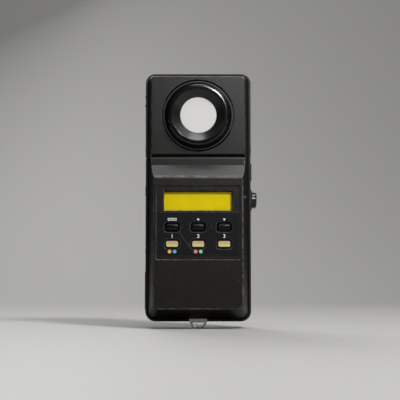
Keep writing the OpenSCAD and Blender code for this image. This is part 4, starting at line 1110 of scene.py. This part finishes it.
class Piece:
    """A visible mesh that rides on one body of the model."""

    def __init__(self, name: str, body: str, bm: bmesh.types.BMesh) -> None:
        """Starts a piece from a mesh.

        Args:
            name: The piece's name.
            body: The body that it rides on.
            bm: Its mesh.
        """
        self.name = name
        self.body = body
        self.bm = bm
        self.stands_for: list[str] = []

    @classmethod
    def from_node(cls, node: str, whole: bool = True) -> "Piece":
        """Starts a piece from a merged copy of a solid.

        Args:
            node: The solid's name.
            whole: Whether its flat faces are made whole.

        Returns:
            A piece that stands for the solid.
        """
        source = frame["nodes"][node]
        bm = bmesh.new()
        bm.from_mesh(source.data)
        bmesh.ops.remove_doubles(bm, verts=bm.verts, dist=MERGE_REACH)
        if whole:
            bmesh.ops.dissolve_limit(bm, angle_limit=math.radians(FLAT_ANGLE), verts=bm.verts, edges=bm.edges)
        made = cls(f"{node}_dressed", source["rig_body"], bm)
        made.stands_for.append(node)
        return made

    def layer(self, name: str) -> bmesh.types.BMLayerItem:
        """A face attribute, added where the mesh has none of that name."""
        layers = self.bm.faces.layers.float
        return layers.get(name) or layers.new(name)

    def soften(self, *rules: Soft) -> "Piece":
        """Bevels the sharp edges that the rules choose, and marks the new faces as edges.

        Args:
            *rules: Which edges, and how far.

        Returns:
            The piece.
        """
        layer = self.layer(EDGE_WEAR_AND_HIGHLIGHT_LAYER)
        for rule in rules:
            made = bmesh.ops.bevel(
                self.bm, geom=rule.chosen(self.bm), offset=rule.width, offset_type="OFFSET", segments=rule.segments,
                profile=0.5, affect="EDGES", clamp_overlap=True, material=-1,
            )
            for face in made["faces"]:
                face[layer] = 1.0
        return self

    def mark(self, name: str, test: Callable[[bmesh.types.BMFace], bool]) -> "Piece":
        """Sets a face attribute to 1 where the test holds.

        Args:
            name: The attribute's name.
            test: Whether a face is marked.

        Returns:
            The piece.
        """
        layer = self.layer(name)
        for face in self.bm.faces:
            if test(face):
                face[layer] = 1.0
        return self

    def finish(self, finish: Finish, angle: float = 32.0) -> bpy.types.Object:
        """Turns the mesh into an object and dresses it.

        Args:
            finish: What it is made of.
            angle: Edges sharper than this stay sharp, in degrees.

        Returns:
            The finished object.
        """
        mesh = bpy.data.meshes.new(self.name)
        self.bm.to_mesh(mesh)
        self.bm.free()
        mesh.polygons.foreach_set("use_smooth", [True] * len(mesh.polygons))
        mesh.set_sharp_from_angle(angle=math.radians(angle))
        mesh.materials.append(finish.material())
        made = bpy.data.objects.new(self.name, mesh)
        bpy.context.scene.collection.objects.link(made)
        normals = made.modifiers.new("Even shading", "WEIGHTED_NORMAL")
        normals.keep_sharp = True
        normals.weight = NORMAL_WEIGHT
        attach(made, self.body)
        if self.stands_for:
            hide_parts(*self.stands_for)
        LOG.info("piece %s on %s: %d faces", self.name, self.body, len(mesh.polygons))
        return made


def paint(finish: Finish, *nodes: str) -> None:
    """Gives solids that are shown as they are their finish.

    Args:
        finish: What they are made of.
        *nodes: The solids' names.
    """
    for node in nodes:
        materials = frame["nodes"][node].data.materials
        materials.clear()
        materials.append(finish.material())
        LOG.info("solid %s: %s", node, finish.name)


def middle(node: str) -> Vector:
    """The middle of a solid's box."""
    low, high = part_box(node)
    return (low + high) / 2


def flat_ring(outer: Iterable[Iterable[float]], inner: Iterable[Iterable[float]]) -> bmesh.types.BMesh:
    """Joins two outlines of four corners each with four flat faces.

    Args:
        outer: Corners of the outer outline.
        inner: Corners of the inner one, in the same order.

    Returns:
        The mesh.
    """
    bm = bmesh.new()
    rim, hole = ([bm.verts.new(tuple(corner)) for corner in ring] for ring in (outer, inner))
    for k in range(4):
        follows = (k + 1) % 4
        bm.faces.new((rim[k], rim[follows], hole[follows], hole[k]))
    return bm


@dataclass
class Head:
    """The head block with its receptor. Lengths are in metres, areas in square metres.

    Attributes:
        ring_radius: Radius of the mount ring's front edge.
        hole_radius: Radius of the opening that the ring fills.
        draw_in: How far the ring's front edge is drawn in, so that the groove around it reads.
        edge_reach, edge_depth: How far from ring_radius, and behind the ring's face, a point of that edge may be.
        wall_reach: How far inside ring_radius the ring's outer wall may be.
        flange_depth: How far behind the ring's face its flange at least is.
        hole_reach: How far from hole_radius the wall of the opening may be.
        hole_slant: How much the normal of that wall may lean to the front.
        rim_area: Largest face along the rim of the front.
        bezel_angle, diffuser_angle: Edges sharper than this stay sharp, in degrees.
    """

    ring_radius: float = 24.4 * MM
    hole_radius: float = 25.0 * MM
    draw_in: float = 0.5 * MM
    edge_reach: float = 0.5 * MM
    edge_depth: float = 1.7 * MM
    wall_reach: float = 0.6 * MM
    flange_depth: float = 1.0 * MM
    hole_reach: float = 0.1 * MM
    hole_slant: float = 0.5
    rim_area: float = 4e-5
    bezel_angle: float = 60.0
    diffuser_angle: float = 50.0

    def __post_init__(self) -> None:
        """Finds the receptor's axis and the ring's face."""
        self.centre = middle("receptor_mount_ring")
        self.ring_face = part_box("receptor_mount_ring")[0].y

    def reach(self, point: Vector) -> float:
        """How far a point is from the receptor's axis."""
        return math.hypot(point.x - self.centre.x, point.z - self.centre.z)

    def takes_groove_shade(self, face: bmesh.types.BMFace) -> bool:
        """Whether a face of the ring is its outer wall or the front of its flange.

        Args:
            face: A face of the ring.

        Returns:
            Whether it takes the painted shade of the groove.
        """
        if face.normal.y > WALL_Y:
            return self.reach(face.verts[0].co) > self.ring_radius - self.wall_reach
        return face.calc_center_median().y > self.ring_face + self.flange_depth

    def takes_hole_shade(self, face: bmesh.types.BMFace) -> bool:
        """Whether a face of the front cover is the wall of the ring's opening.

        Args:
            face: A face of the front cover.

        Returns:
            Whether it takes the painted shade of the groove.
        """
        points = (face.verts[0].co, face.calc_center_median())
        corner, centre = (self.reach(point) - self.hole_radius for point in points)
        return abs(corner) < self.hole_reach and centre < self.hole_reach and abs(face.normal.y) < self.hole_slant

    def mount_ring(self) -> None:
        """The mount ring, drawn in a little at its front edge, with painted shade on the walls of the groove around it.
        """
        made = Piece.from_node("receptor_mount_ring")
        for vert in made.bm.verts:
            at_edge = abs(self.reach(vert.co) - self.ring_radius) < self.edge_reach
            if at_edge and vert.co.y < self.ring_face + self.edge_depth:
                away = Vector((vert.co.x - self.centre.x, 0.0, vert.co.z - self.centre.z))
                vert.co -= away.normalized() * self.draw_in
        # Painted shade: the ring's outer wall and flange get a near-black colour, so that the groove reads dark.
        made.mark(BODY_AND_SHADE_LAYER, self.takes_groove_shade).finish(RING)

    def covers(self) -> None:
        """Front and rear covers of the head."""
        front = Piece.from_node("head_front_cover")
        # Painted shade on the wall of the ring's opening, so that the groove reads dark.
        front.mark(BODY_AND_SHADE_LAYER, self.takes_hole_shade)
        front.mark(POLISH_LAYER, lambda face: face.normal.y > WALL_Y)
        # The slanted faces along the front's rim get the lighter colour, partly as wear and partly as a painted
        # highlight.
        front.mark(EDGE_WEAR_AND_HIGHLIGHT_LAYER, lambda face: on_rim(face, self.rim_area))
        front.finish(COVER)
        Piece.from_node("head_rear_cover").finish(REAR)

    def receptor(self) -> None:
        """Mount ring, bezel, cone, diffuser and what lies behind it."""
        self.mount_ring()
        Piece.from_node("receptor_bezel", whole=False).finish(BEZEL, self.bezel_angle)
        Piece.from_node("receptor_cone").soften(Soft(width=0.08 * MM)).finish(CONE)
        Piece.from_node("diffuser").soften(Soft(width=0.1 * MM)).finish(OPAL, self.diffuser_angle)
        paint(INNER, "diffuser_retainer", "cell_holder")
        paint(WHITE_TUBE, "light_tube")
        paint(CELL_FACE, "photocells")
        for colour, finish in (("blue", BLUE_GLASS), ("green", GREEN_GLASS), ("red", RED_GLASS)):
            paint(finish, f"filter_{colour}")

    def inside(self) -> None:
        """Sensor board, plug and screws."""
        paint(BOARD, "sensor_board")
        paint(CHIP, "sensor_chips")
        paint(INNER, "head_plug")
        paint(BRASS, "plug_pins")
        paint(STEEL, "ring_screws", "sensor_screws")
        paint(DARK_STEEL, "head_screws")

    def build(self) -> None:
        """Builds the head."""
        self.covers()
        self.receptor()
        self.inside()


@dataclass
class Case:
    """The lower case with its covers, fittings and battery. Lengths are in metres, areas in square metres.

    Attributes:
        neck_edges: The edges between neck and slope, which stay crisp.
        flank_x: Walls further from the middle than this are polished.
        foot_z: Faces that look down are polished below this.
        down_z: How far the normal of such a face at least points down.
        rim_area: Largest face along the rim of the front.
    """

    neck_edges: Soft = Soft(
        width=0.2 * MM, box=(-31.5 * MM, 31.5 * MM, -10.6 * MM, -9.2 * MM, 111.0 * MM, 115.8 * MM), angle=30.0,
        convex=False,
    )
    flank_x: float = 29.0 * MM
    foot_z: float = 20.0 * MM
    down_z: float = -0.5
    rim_area: float = 6e-5

    def is_polished(self, face: bmesh.types.BMFace) -> bool:
        """Whether a face of the front cover is a polished wall or part of its base.

        Args:
            face: A face of the front cover.

        Returns:
            Whether it is polished.
        """
        spot = face.calc_center_median()
        if face.normal.y > WALL_Y and abs(spot.x) > self.flank_x:
            return True
        return face.normal.z < self.down_z and spot.z < self.foot_z

    def covers(self) -> None:
        """Front and rear covers and the battery cover."""
        front = Piece.from_node("front_cover").soften(self.neck_edges)
        front.mark(POLISH_LAYER, self.is_polished)
        # The slanted faces along the front's rim get the lighter colour, partly as wear and partly as a painted
        # highlight.
        front.mark(EDGE_WEAR_AND_HIGHLIGHT_LAYER, lambda face: on_rim(face, self.rim_area))
        front.finish(COVER)
        for node in ("rear_cover", "battery_cover"):
            Piece.from_node(node).finish(REAR)

    def fittings(self) -> None:
        """Strap lug, tripod socket and screws."""
        Piece.from_node("strap_lug").soften(Soft(width=0.25 * MM, segments=3, angle=60.0)).finish(LUG_STEEL)
        paint(BRASS, "tripod_socket")
        paint(DARK_STEEL, "case_screws")

    def inside(self) -> None:
        """Board, sockets, switches, display parts and battery."""
        paint(BOARD, "main_board")
        paint(CHIP, "board_chips")
        paint(INNER, "head_socket", "button_switch", "lcd_frame")
        paint(STEEL, "board_screws", "power_switch", "battery_spring")
        paint(BRASS, "socket_contacts", "battery_contact")
        paint(RUBBER, "key_mat", "lcd_contact_strips")
        paint(REFLECTOR, "lcd_reflector")
        paint(SLEEVE, "battery")

    def build(self) -> None:
        """Builds the lower case."""
        self.covers()
        self.fittings()
        self.inside()


@dataclass
class Panel:
    """Display, key plate, keys and the printed marks. Lengths are in metres.

    Attributes:
        ink: Thickness of the printed ink.
        paint_reach: How far behind the plate's face the keys' colour goes.
        mark_rise: How far above its key a mark stands.
        triangle_radius: Size of the arrow marks.
        dot_drop, dot_offset: How far below its key a dot stands, and how far to the side.
        dot_radius, dot_sides: Its size, and how many sides it is drawn with.
        digit_height: Height of the numbers.
        digit_scale: Size of the font for that height.
        digit_weight: How much bolder the numbers are than the font.
        digit_merge: Points of a number closer than this are merged.
        frame_size: Half the side of a frame mark, and the width of its line.
        frame_pitch: How far apart the frames are.
        key_gap: How far the plate's openings are widened around the keys.
        plate_step: How far behind the plate's face its softened edges begin.
        cap_slant: How much the normal of a key's side wall may lean to the front.
        cap_edge: How keys and openings are softened.
        cap_angle: Edges of a key sharper than this stay sharp, in degrees.
        border: Left, right, bottom and top of the display's opening.
        border_and_shadow_in: How far the black sheet shows inside each of them: a thin border at the left and bottom,
            and a painted shadow of the window's edge at the right and top.
        border_out: How far it goes on behind the cover.
        border_rise: How far in front of the cell it lies.
    """

    ink: float = 0.03 * MM
    paint_reach: float = 0.25 * MM
    mark_rise: float = 5.25 * MM
    triangle_radius: float = 1.0 * MM
    dot_drop: float = 5.1 * MM
    dot_offset: float = 1.75 * MM
    dot_radius: float = 1.2 * MM
    dot_sides: int = 40
    digit_height: float = 2.5 * MM
    digit_scale: float = 1.4
    digit_weight: float = 0.04 * MM
    digit_merge: float = 0.005 * MM
    frame_size: tuple[float, float] = (0.85 * MM, 0.36 * MM)
    frame_pitch: float = 2.1 * MM
    key_gap: float = 0.45 * MM
    plate_step: float = 0.05 * MM
    cap_slant: float = 0.3
    cap_edge: Soft = Soft(width=0.12 * MM, angle=60.0)
    cap_angle: float = 45.0
    border: tuple[float, float, float, float] = (-23.2 * MM, 23.2 * MM, 79.9 * MM, 93.4 * MM)
    border_and_shadow_in: tuple[float, float, float, float] = (0.1 * MM, 0.5 * MM, 0.1 * MM, 0.9 * MM)
    border_out: float = 0.5 * MM
    border_rise: float = 0.02 * MM

    def __post_init__(self) -> None:
        """Finds the plate's face."""
        self.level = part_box("key_plate")[0].y

    def display(self) -> None:
        """The yellow cell, its window and a black sheet in front of the cell: a thin printed border, widened at the top
        and right into a painted shadow.
        """
        paint(DISPLAY, "lcd_cell")
        paint(WINDOW, "display_window")
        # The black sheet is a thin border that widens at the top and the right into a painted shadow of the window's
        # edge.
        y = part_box("lcd_cell")[0].y - self.border_rise
        rings = []
        for shifts in ((-self.border_out,) * 4, self.border_and_shadow_in):
            left, right, bottom, top = (
                edge + sign * shift for edge, sign, shift in zip(self.border, (1, -1, 1, -1), shifts)
            )
            rings.append(((left, y, bottom), (right, y, bottom), (right, y, top), (left, y, top)))
        Piece("display_border_and_shadow", CASE_BODY, flat_ring(*rings)).finish(InkColour.BLACK.finish())

    def plate(self) -> None:
        """The key plate with widened and softened openings."""
        made = Piece.from_node("key_plate")
        for name in KEYS:
            low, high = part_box(name)
            spot, half = (low + high) / 2, (high - low) / 2
            for vert in made.bm.verts:
                away = vert.co - spot
                if abs(away.x) < half.x and abs(away.z) < half.z:
                    vert.co.x += math.copysign(self.key_gap, away.x)
                    vert.co.z += math.copysign(self.key_gap, away.z)
        made.soften(self.cap_edge)
        behind = self.level + self.plate_step
        made.mark(EDGE_WEAR_AND_HIGHLIGHT_LAYER, lambda face: face.normal.y < FRONT_Y and face.calc_center_median().y > behind)
        made.finish(PLATE)

    def cap(self, name: str, finish: Finish) -> None:
        """A key whose side walls, flange and stem take a near-black colour: partly its black body under the cream,
        partly painted shade in the gap around it.

        Args:
            name: The key's name.
            finish: What it is made of.
        """
        made = Piece.from_node(name)
        behind = self.level + self.paint_reach
        # Walls and deeper faces take the near-black under colour: the key's black body, and painted shade in its gap.
        made.mark(
            BODY_AND_SHADE_LAYER, lambda face: face.calc_center_median().y > behind or abs(face.normal.y) < self.cap_slant
        )
        made.soften(self.cap_edge).finish(finish, self.cap_angle)

    def keys(self) -> None:
        """The three black keys and the three cream ones below them."""
        for name in KEYS[:3]:
            self.cap(name, BLACK_KEY)
        for name in KEYS[3:]:
            self.cap(name, CREAM_KEY)

    def stand(self, bm: bmesh.types.BMesh, x: float, z: float) -> None:
        """Turns a flat print to face the front, gives it the ink's thickness and puts it on the plate.

        Args:
            bm: The print, flat about the origin.
            x: Its middle, in metres.
            z: Its middle, in metres.
        """
        made = bmesh.ops.extrude_face_region(bm, geom=list(bm.faces))
        verts = [v for v in made["geom"] if isinstance(v, bmesh.types.BMVert)]
        bmesh.ops.translate(bm, verts=verts, vec=(0.0, 0.0, self.ink))
        turn = Matrix.Translation((x, self.level, z)) @ Matrix.Rotation(math.radians(90.0), 4, "X")
        bmesh.ops.transform(bm, matrix=turn, verts=bm.verts)
        bmesh.ops.recalc_face_normals(bm, faces=bm.faces)

    def disc(self, name: str, x: float, z: float, radius: float, sides: int, ink: InkColour, turn: float = 0.0) -> None:
        """Prints a dot, or a triangle where sides is 3.

        Args:
            name: The piece's name.
            x: Its middle, in metres.
            z: Its middle, in metres.
            radius: Its size, in metres.
            sides: How many sides the outline has.
            ink: Its colour.
            turn: How far it is turned, in degrees.
        """
        bm = bmesh.new()
        bmesh.ops.create_circle(
            bm, cap_ends=True, segments=sides, radius=radius, matrix=Matrix.Rotation(math.radians(turn), 4, "Z")
        )
        self.stand(bm, x, z)
        Piece(name, CASE_BODY, bm).finish(ink.finish())

    def digit(self, text: str, x: float, z: float) -> None:
        """Prints a plain number.

        Args:
            text: The number.
            x: Its middle, in metres.
            z: Its middle, in metres.
        """
        curve = bpy.data.curves.new(f"digit_{text}", "FONT")
        curve.body = text
        curve.size = self.digit_height * self.digit_scale
        curve.align_x = "CENTER"
        curve.align_y = "CENTER"
        curve.offset = self.digit_weight
        made = bpy.data.objects.new(f"digit_{text}", curve)
        bpy.context.scene.collection.objects.link(made)
        bpy.context.view_layer.update()
        mesh = bpy.data.meshes.new_from_object(made.evaluated_get(bpy.context.evaluated_depsgraph_get()))
        bpy.data.objects.remove(made)
        bm = bmesh.new()
        bm.from_mesh(mesh)
        bmesh.ops.remove_doubles(bm, verts=bm.verts, dist=self.digit_merge)
        self.stand(bm, x, z)
        Piece(f"number_{text}", CASE_BODY, bm).finish(InkColour.WHITE.finish())

    def frames(self, x: float, z: float) -> None:
        """Prints a strip of three little frames.

        Args:
            x: The strip's middle, in metres.
            z: The strip's middle, in metres.
        """
        half, line = self.frame_size
        for i in (-1, 0, 1):
            bm = flat_ring(*([(u * size, v * size, 0.0) for u, v in CORNERS] for size in (half, half - line)))
            self.stand(bm, x + i * self.frame_pitch, z)
            Piece(f"frame_mark_{i + 2}", CASE_BODY, bm).finish(InkColour.WHITE.finish())

    def marks(self) -> None:
        """All printed marks."""
        spot = {name: middle(name) for name in KEYS}
        self.frames(spot["film_key"].x, spot["film_key"].z + self.mark_rise)
        for way, turn in (("up", 0.0), ("down", 180.0)):
            key = spot[f"{way}_key"]
            self.disc(f"{way}_mark", key.x, key.z + self.mark_rise, self.triangle_radius, 3, InkColour.WHITE, turn)
        for text, name in zip("123", KEYS[3:]):
            self.digit(text, spot[name].x, spot[name].z + self.mark_rise)
        for name, inks in (
            ("balance_key", (InkColour.AMBER, InkColour.BLUE)),
            ("tint_key", (InkColour.PINK, InkColour.GREEN)),
        ):
            for side, ink in zip((-1, 1), inks):
                x, z = spot[name].x + side * self.dot_offset, spot[name].z - self.dot_drop
                self.disc(f"{ink.name.lower()}_dot", x, z, self.dot_radius, self.dot_sides, ink)

    def build(self) -> None:
        """Builds the panel."""
        self.display()
        self.plate()
        self.keys()
        self.marks()


@dataclass
class SideControls:
    """The measuring button and the power slider.

    Attributes:
        button_edge: How the button is softened.
        slider_edge: How the slider is softened.
    """

    button_edge: Soft = Soft(width=0.15 * MM, angle=38.0)
    slider_edge: Soft = Soft(width=0.12 * MM, angle=60.0)

    def build(self) -> None:
        """Builds both controls."""
        Piece.from_node("measuring_button").soften(self.button_edge).finish(BUTTON)
        Piece.from_node("power_slider").soften(self.slider_edge).finish(BUTTON)


@dataclass(frozen=True)
class Lamp:
    """A soft square lamp.

    Attributes:
        name: Its name.
        place: Where it stands, in metres.
        width: The side of its square, in metres.
        power: Its power in watts.
        diffuse: Whether it lights surfaces, or only shines in them like a small white card.
    """

    name: str
    place: tuple[float, float, float]
    width: float
    power: float
    diffuse: bool = True


@dataclass
class Studio:
    """Plain pale floor, a roll of backdrop paper, soft lamps and the camera. Lengths are in metres.

    Attributes:
        distance, eye: How far in front of the meter the camera stands, and how high.
        pitch, yaw: How far it looks up and to the right, in degrees.
        pixels, focal_pixels: Width of the picture and focal length, in pixels.
        sensor: Width of the sensor, in millimetres.
        clip: Nearest and furthest that it sees.
        floor_colour, floor_roughness, floor_specular: The paper's finish.
        floor_half: Half the side of the floor.
        paper_half: Half the width of the roll.
        wall_y: Where the roll stands upright.
        bend, bend_steps: Radius of its bend, and how many steps make it.
        wall_top: How far it rises above the bend.
        world: Colour of the world's light.
        aim: Where the lamps point.
        lamps: The lamps.
    """

    distance: float = 0.70
    eye: float = 0.036
    pitch: float = 4.26
    yaw: float = -0.1017
    pixels: float = 400.0
    focal_pixels: float = 1014.0
    sensor: float = 36.0
    clip: tuple[float, float] = (0.01, 20.0)
    floor_colour: Colour = (0.30, 0.296, 0.288)
    floor_roughness: float = 0.6
    floor_specular: float = 0.2
    floor_half: float = 3.0
    paper_half: float = 0.42
    wall_y: float = 1.1
    bend: float = 0.5
    bend_steps: int = 16
    wall_top: float = 2.5
    world: Colour = (0.03, 0.03, 0.031)
    aim: tuple[float, float, float] = (0.0, 0.0, 0.09)
    lamps: tuple[Lamp, ...] = (
        Lamp("key", (0.51, -0.64, 0.89), 0.20, 17.0),
        Lamp("sheen", (0.11, -0.50, 0.36), 0.12, 1.9, diffuse=False),
        Lamp("top", (0.06, -0.20, 1.10), 0.50, 6.5),
        Lamp("rear", (-0.35, 0.80, 0.80), 0.50, 6.5),
    )

    def backdrop(self) -> None:
        """The floor, and behind it a roll of paper that rises in a bend."""
        bm = bmesh.new()
        bmesh.ops.create_grid(bm, x_segments=1, y_segments=1, size=self.floor_half)
        back = self.wall_y - self.bend
        ends = [bm.verts.new((side * self.paper_half, back, 0.0)) for side in (-1, 1)]
        rim = bm.edges.new(ends)
        spun = bmesh.ops.spin(
            bm, geom=[rim, *ends], cent=(0.0, back, self.bend), axis=(1.0, 0.0, 0.0),
            angle=math.radians(90.0), steps=self.bend_steps, use_merge=False, use_duplicate=False,
        )
        last = [e for e in spun["geom_last"] if isinstance(e, bmesh.types.BMEdge)]
        grown = bmesh.ops.extrude_edge_only(bm, edges=last)
        tip = [v for v in grown["geom"] if isinstance(v, bmesh.types.BMVert)]
        bmesh.ops.translate(bm, verts=tip, vec=(0.0, 0.0, self.wall_top))
        mesh = bpy.data.meshes.new("backdrop")
        bm.to_mesh(mesh)
        bm.free()
        mesh.polygons.foreach_set("use_smooth", [True] * len(mesh.polygons))
        floor = bpy.data.objects.new("backdrop", mesh)
        bpy.context.scene.collection.objects.link(floor)
        material = bpy.data.materials.new("Backdrop")
        material.use_nodes = True
        body = material.node_tree.nodes["Principled BSDF"]
        body.inputs["Base Color"].default_value = (*self.floor_colour, 1.0)
        body.inputs["Roughness"].default_value = self.floor_roughness
        body.inputs["Specular IOR Level"].default_value = self.floor_specular
        mesh.materials.append(material)

    def light(self) -> None:
        """The world and the lamps."""
        world = bpy.data.worlds.new("Studio")
        world.use_nodes = True
        world.node_tree.nodes["Background"].inputs["Color"].default_value = (*self.world, 1.0)
        bpy.context.scene.world = world
        for lamp in self.lamps:
            data = bpy.data.lights.new(lamp.name, "AREA")
            data.size = lamp.width
            data.energy = lamp.power
            made = bpy.data.objects.new(lamp.name, data)
            made.location = lamp.place
            made.visible_diffuse = lamp.diffuse
            made.rotation_euler = (Vector(lamp.place) - Vector(self.aim)).to_track_quat("Z", "Y").to_euler()
            bpy.context.scene.collection.objects.link(made)

    def camera(self) -> None:
        """The camera at the photograph's viewing angle."""
        data = bpy.data.cameras.new("camera")
        data.sensor_width = self.sensor
        data.lens = self.sensor * self.focal_pixels / self.pixels
        data.clip_start, data.clip_end = self.clip
        made = bpy.data.objects.new("camera", data)
        made.location = (0.0, -self.distance, self.eye)
        made.rotation_euler = (math.radians(90.0 + self.pitch), 0.0, math.radians(self.yaw))
        bpy.context.scene.collection.objects.link(made)
        bpy.context.scene.camera = made

    def build(self) -> None:
        """Sets up the studio."""
        self.backdrop()
        self.light()
        self.camera()
        bpy.context.scene.view_settings.view_transform = "Standard"


def main() -> None:
    """Builds every sub-assembly and the studio."""
    logging.basicConfig(level=logging.INFO, format="%(name)s: %(message)s")
    for part in (Head(), Case(), Panel(), SideControls(), Studio()):
        LOG.info("building %s", type(part).__name__)
        part.build()


if __name__ == "__main__":
    main()
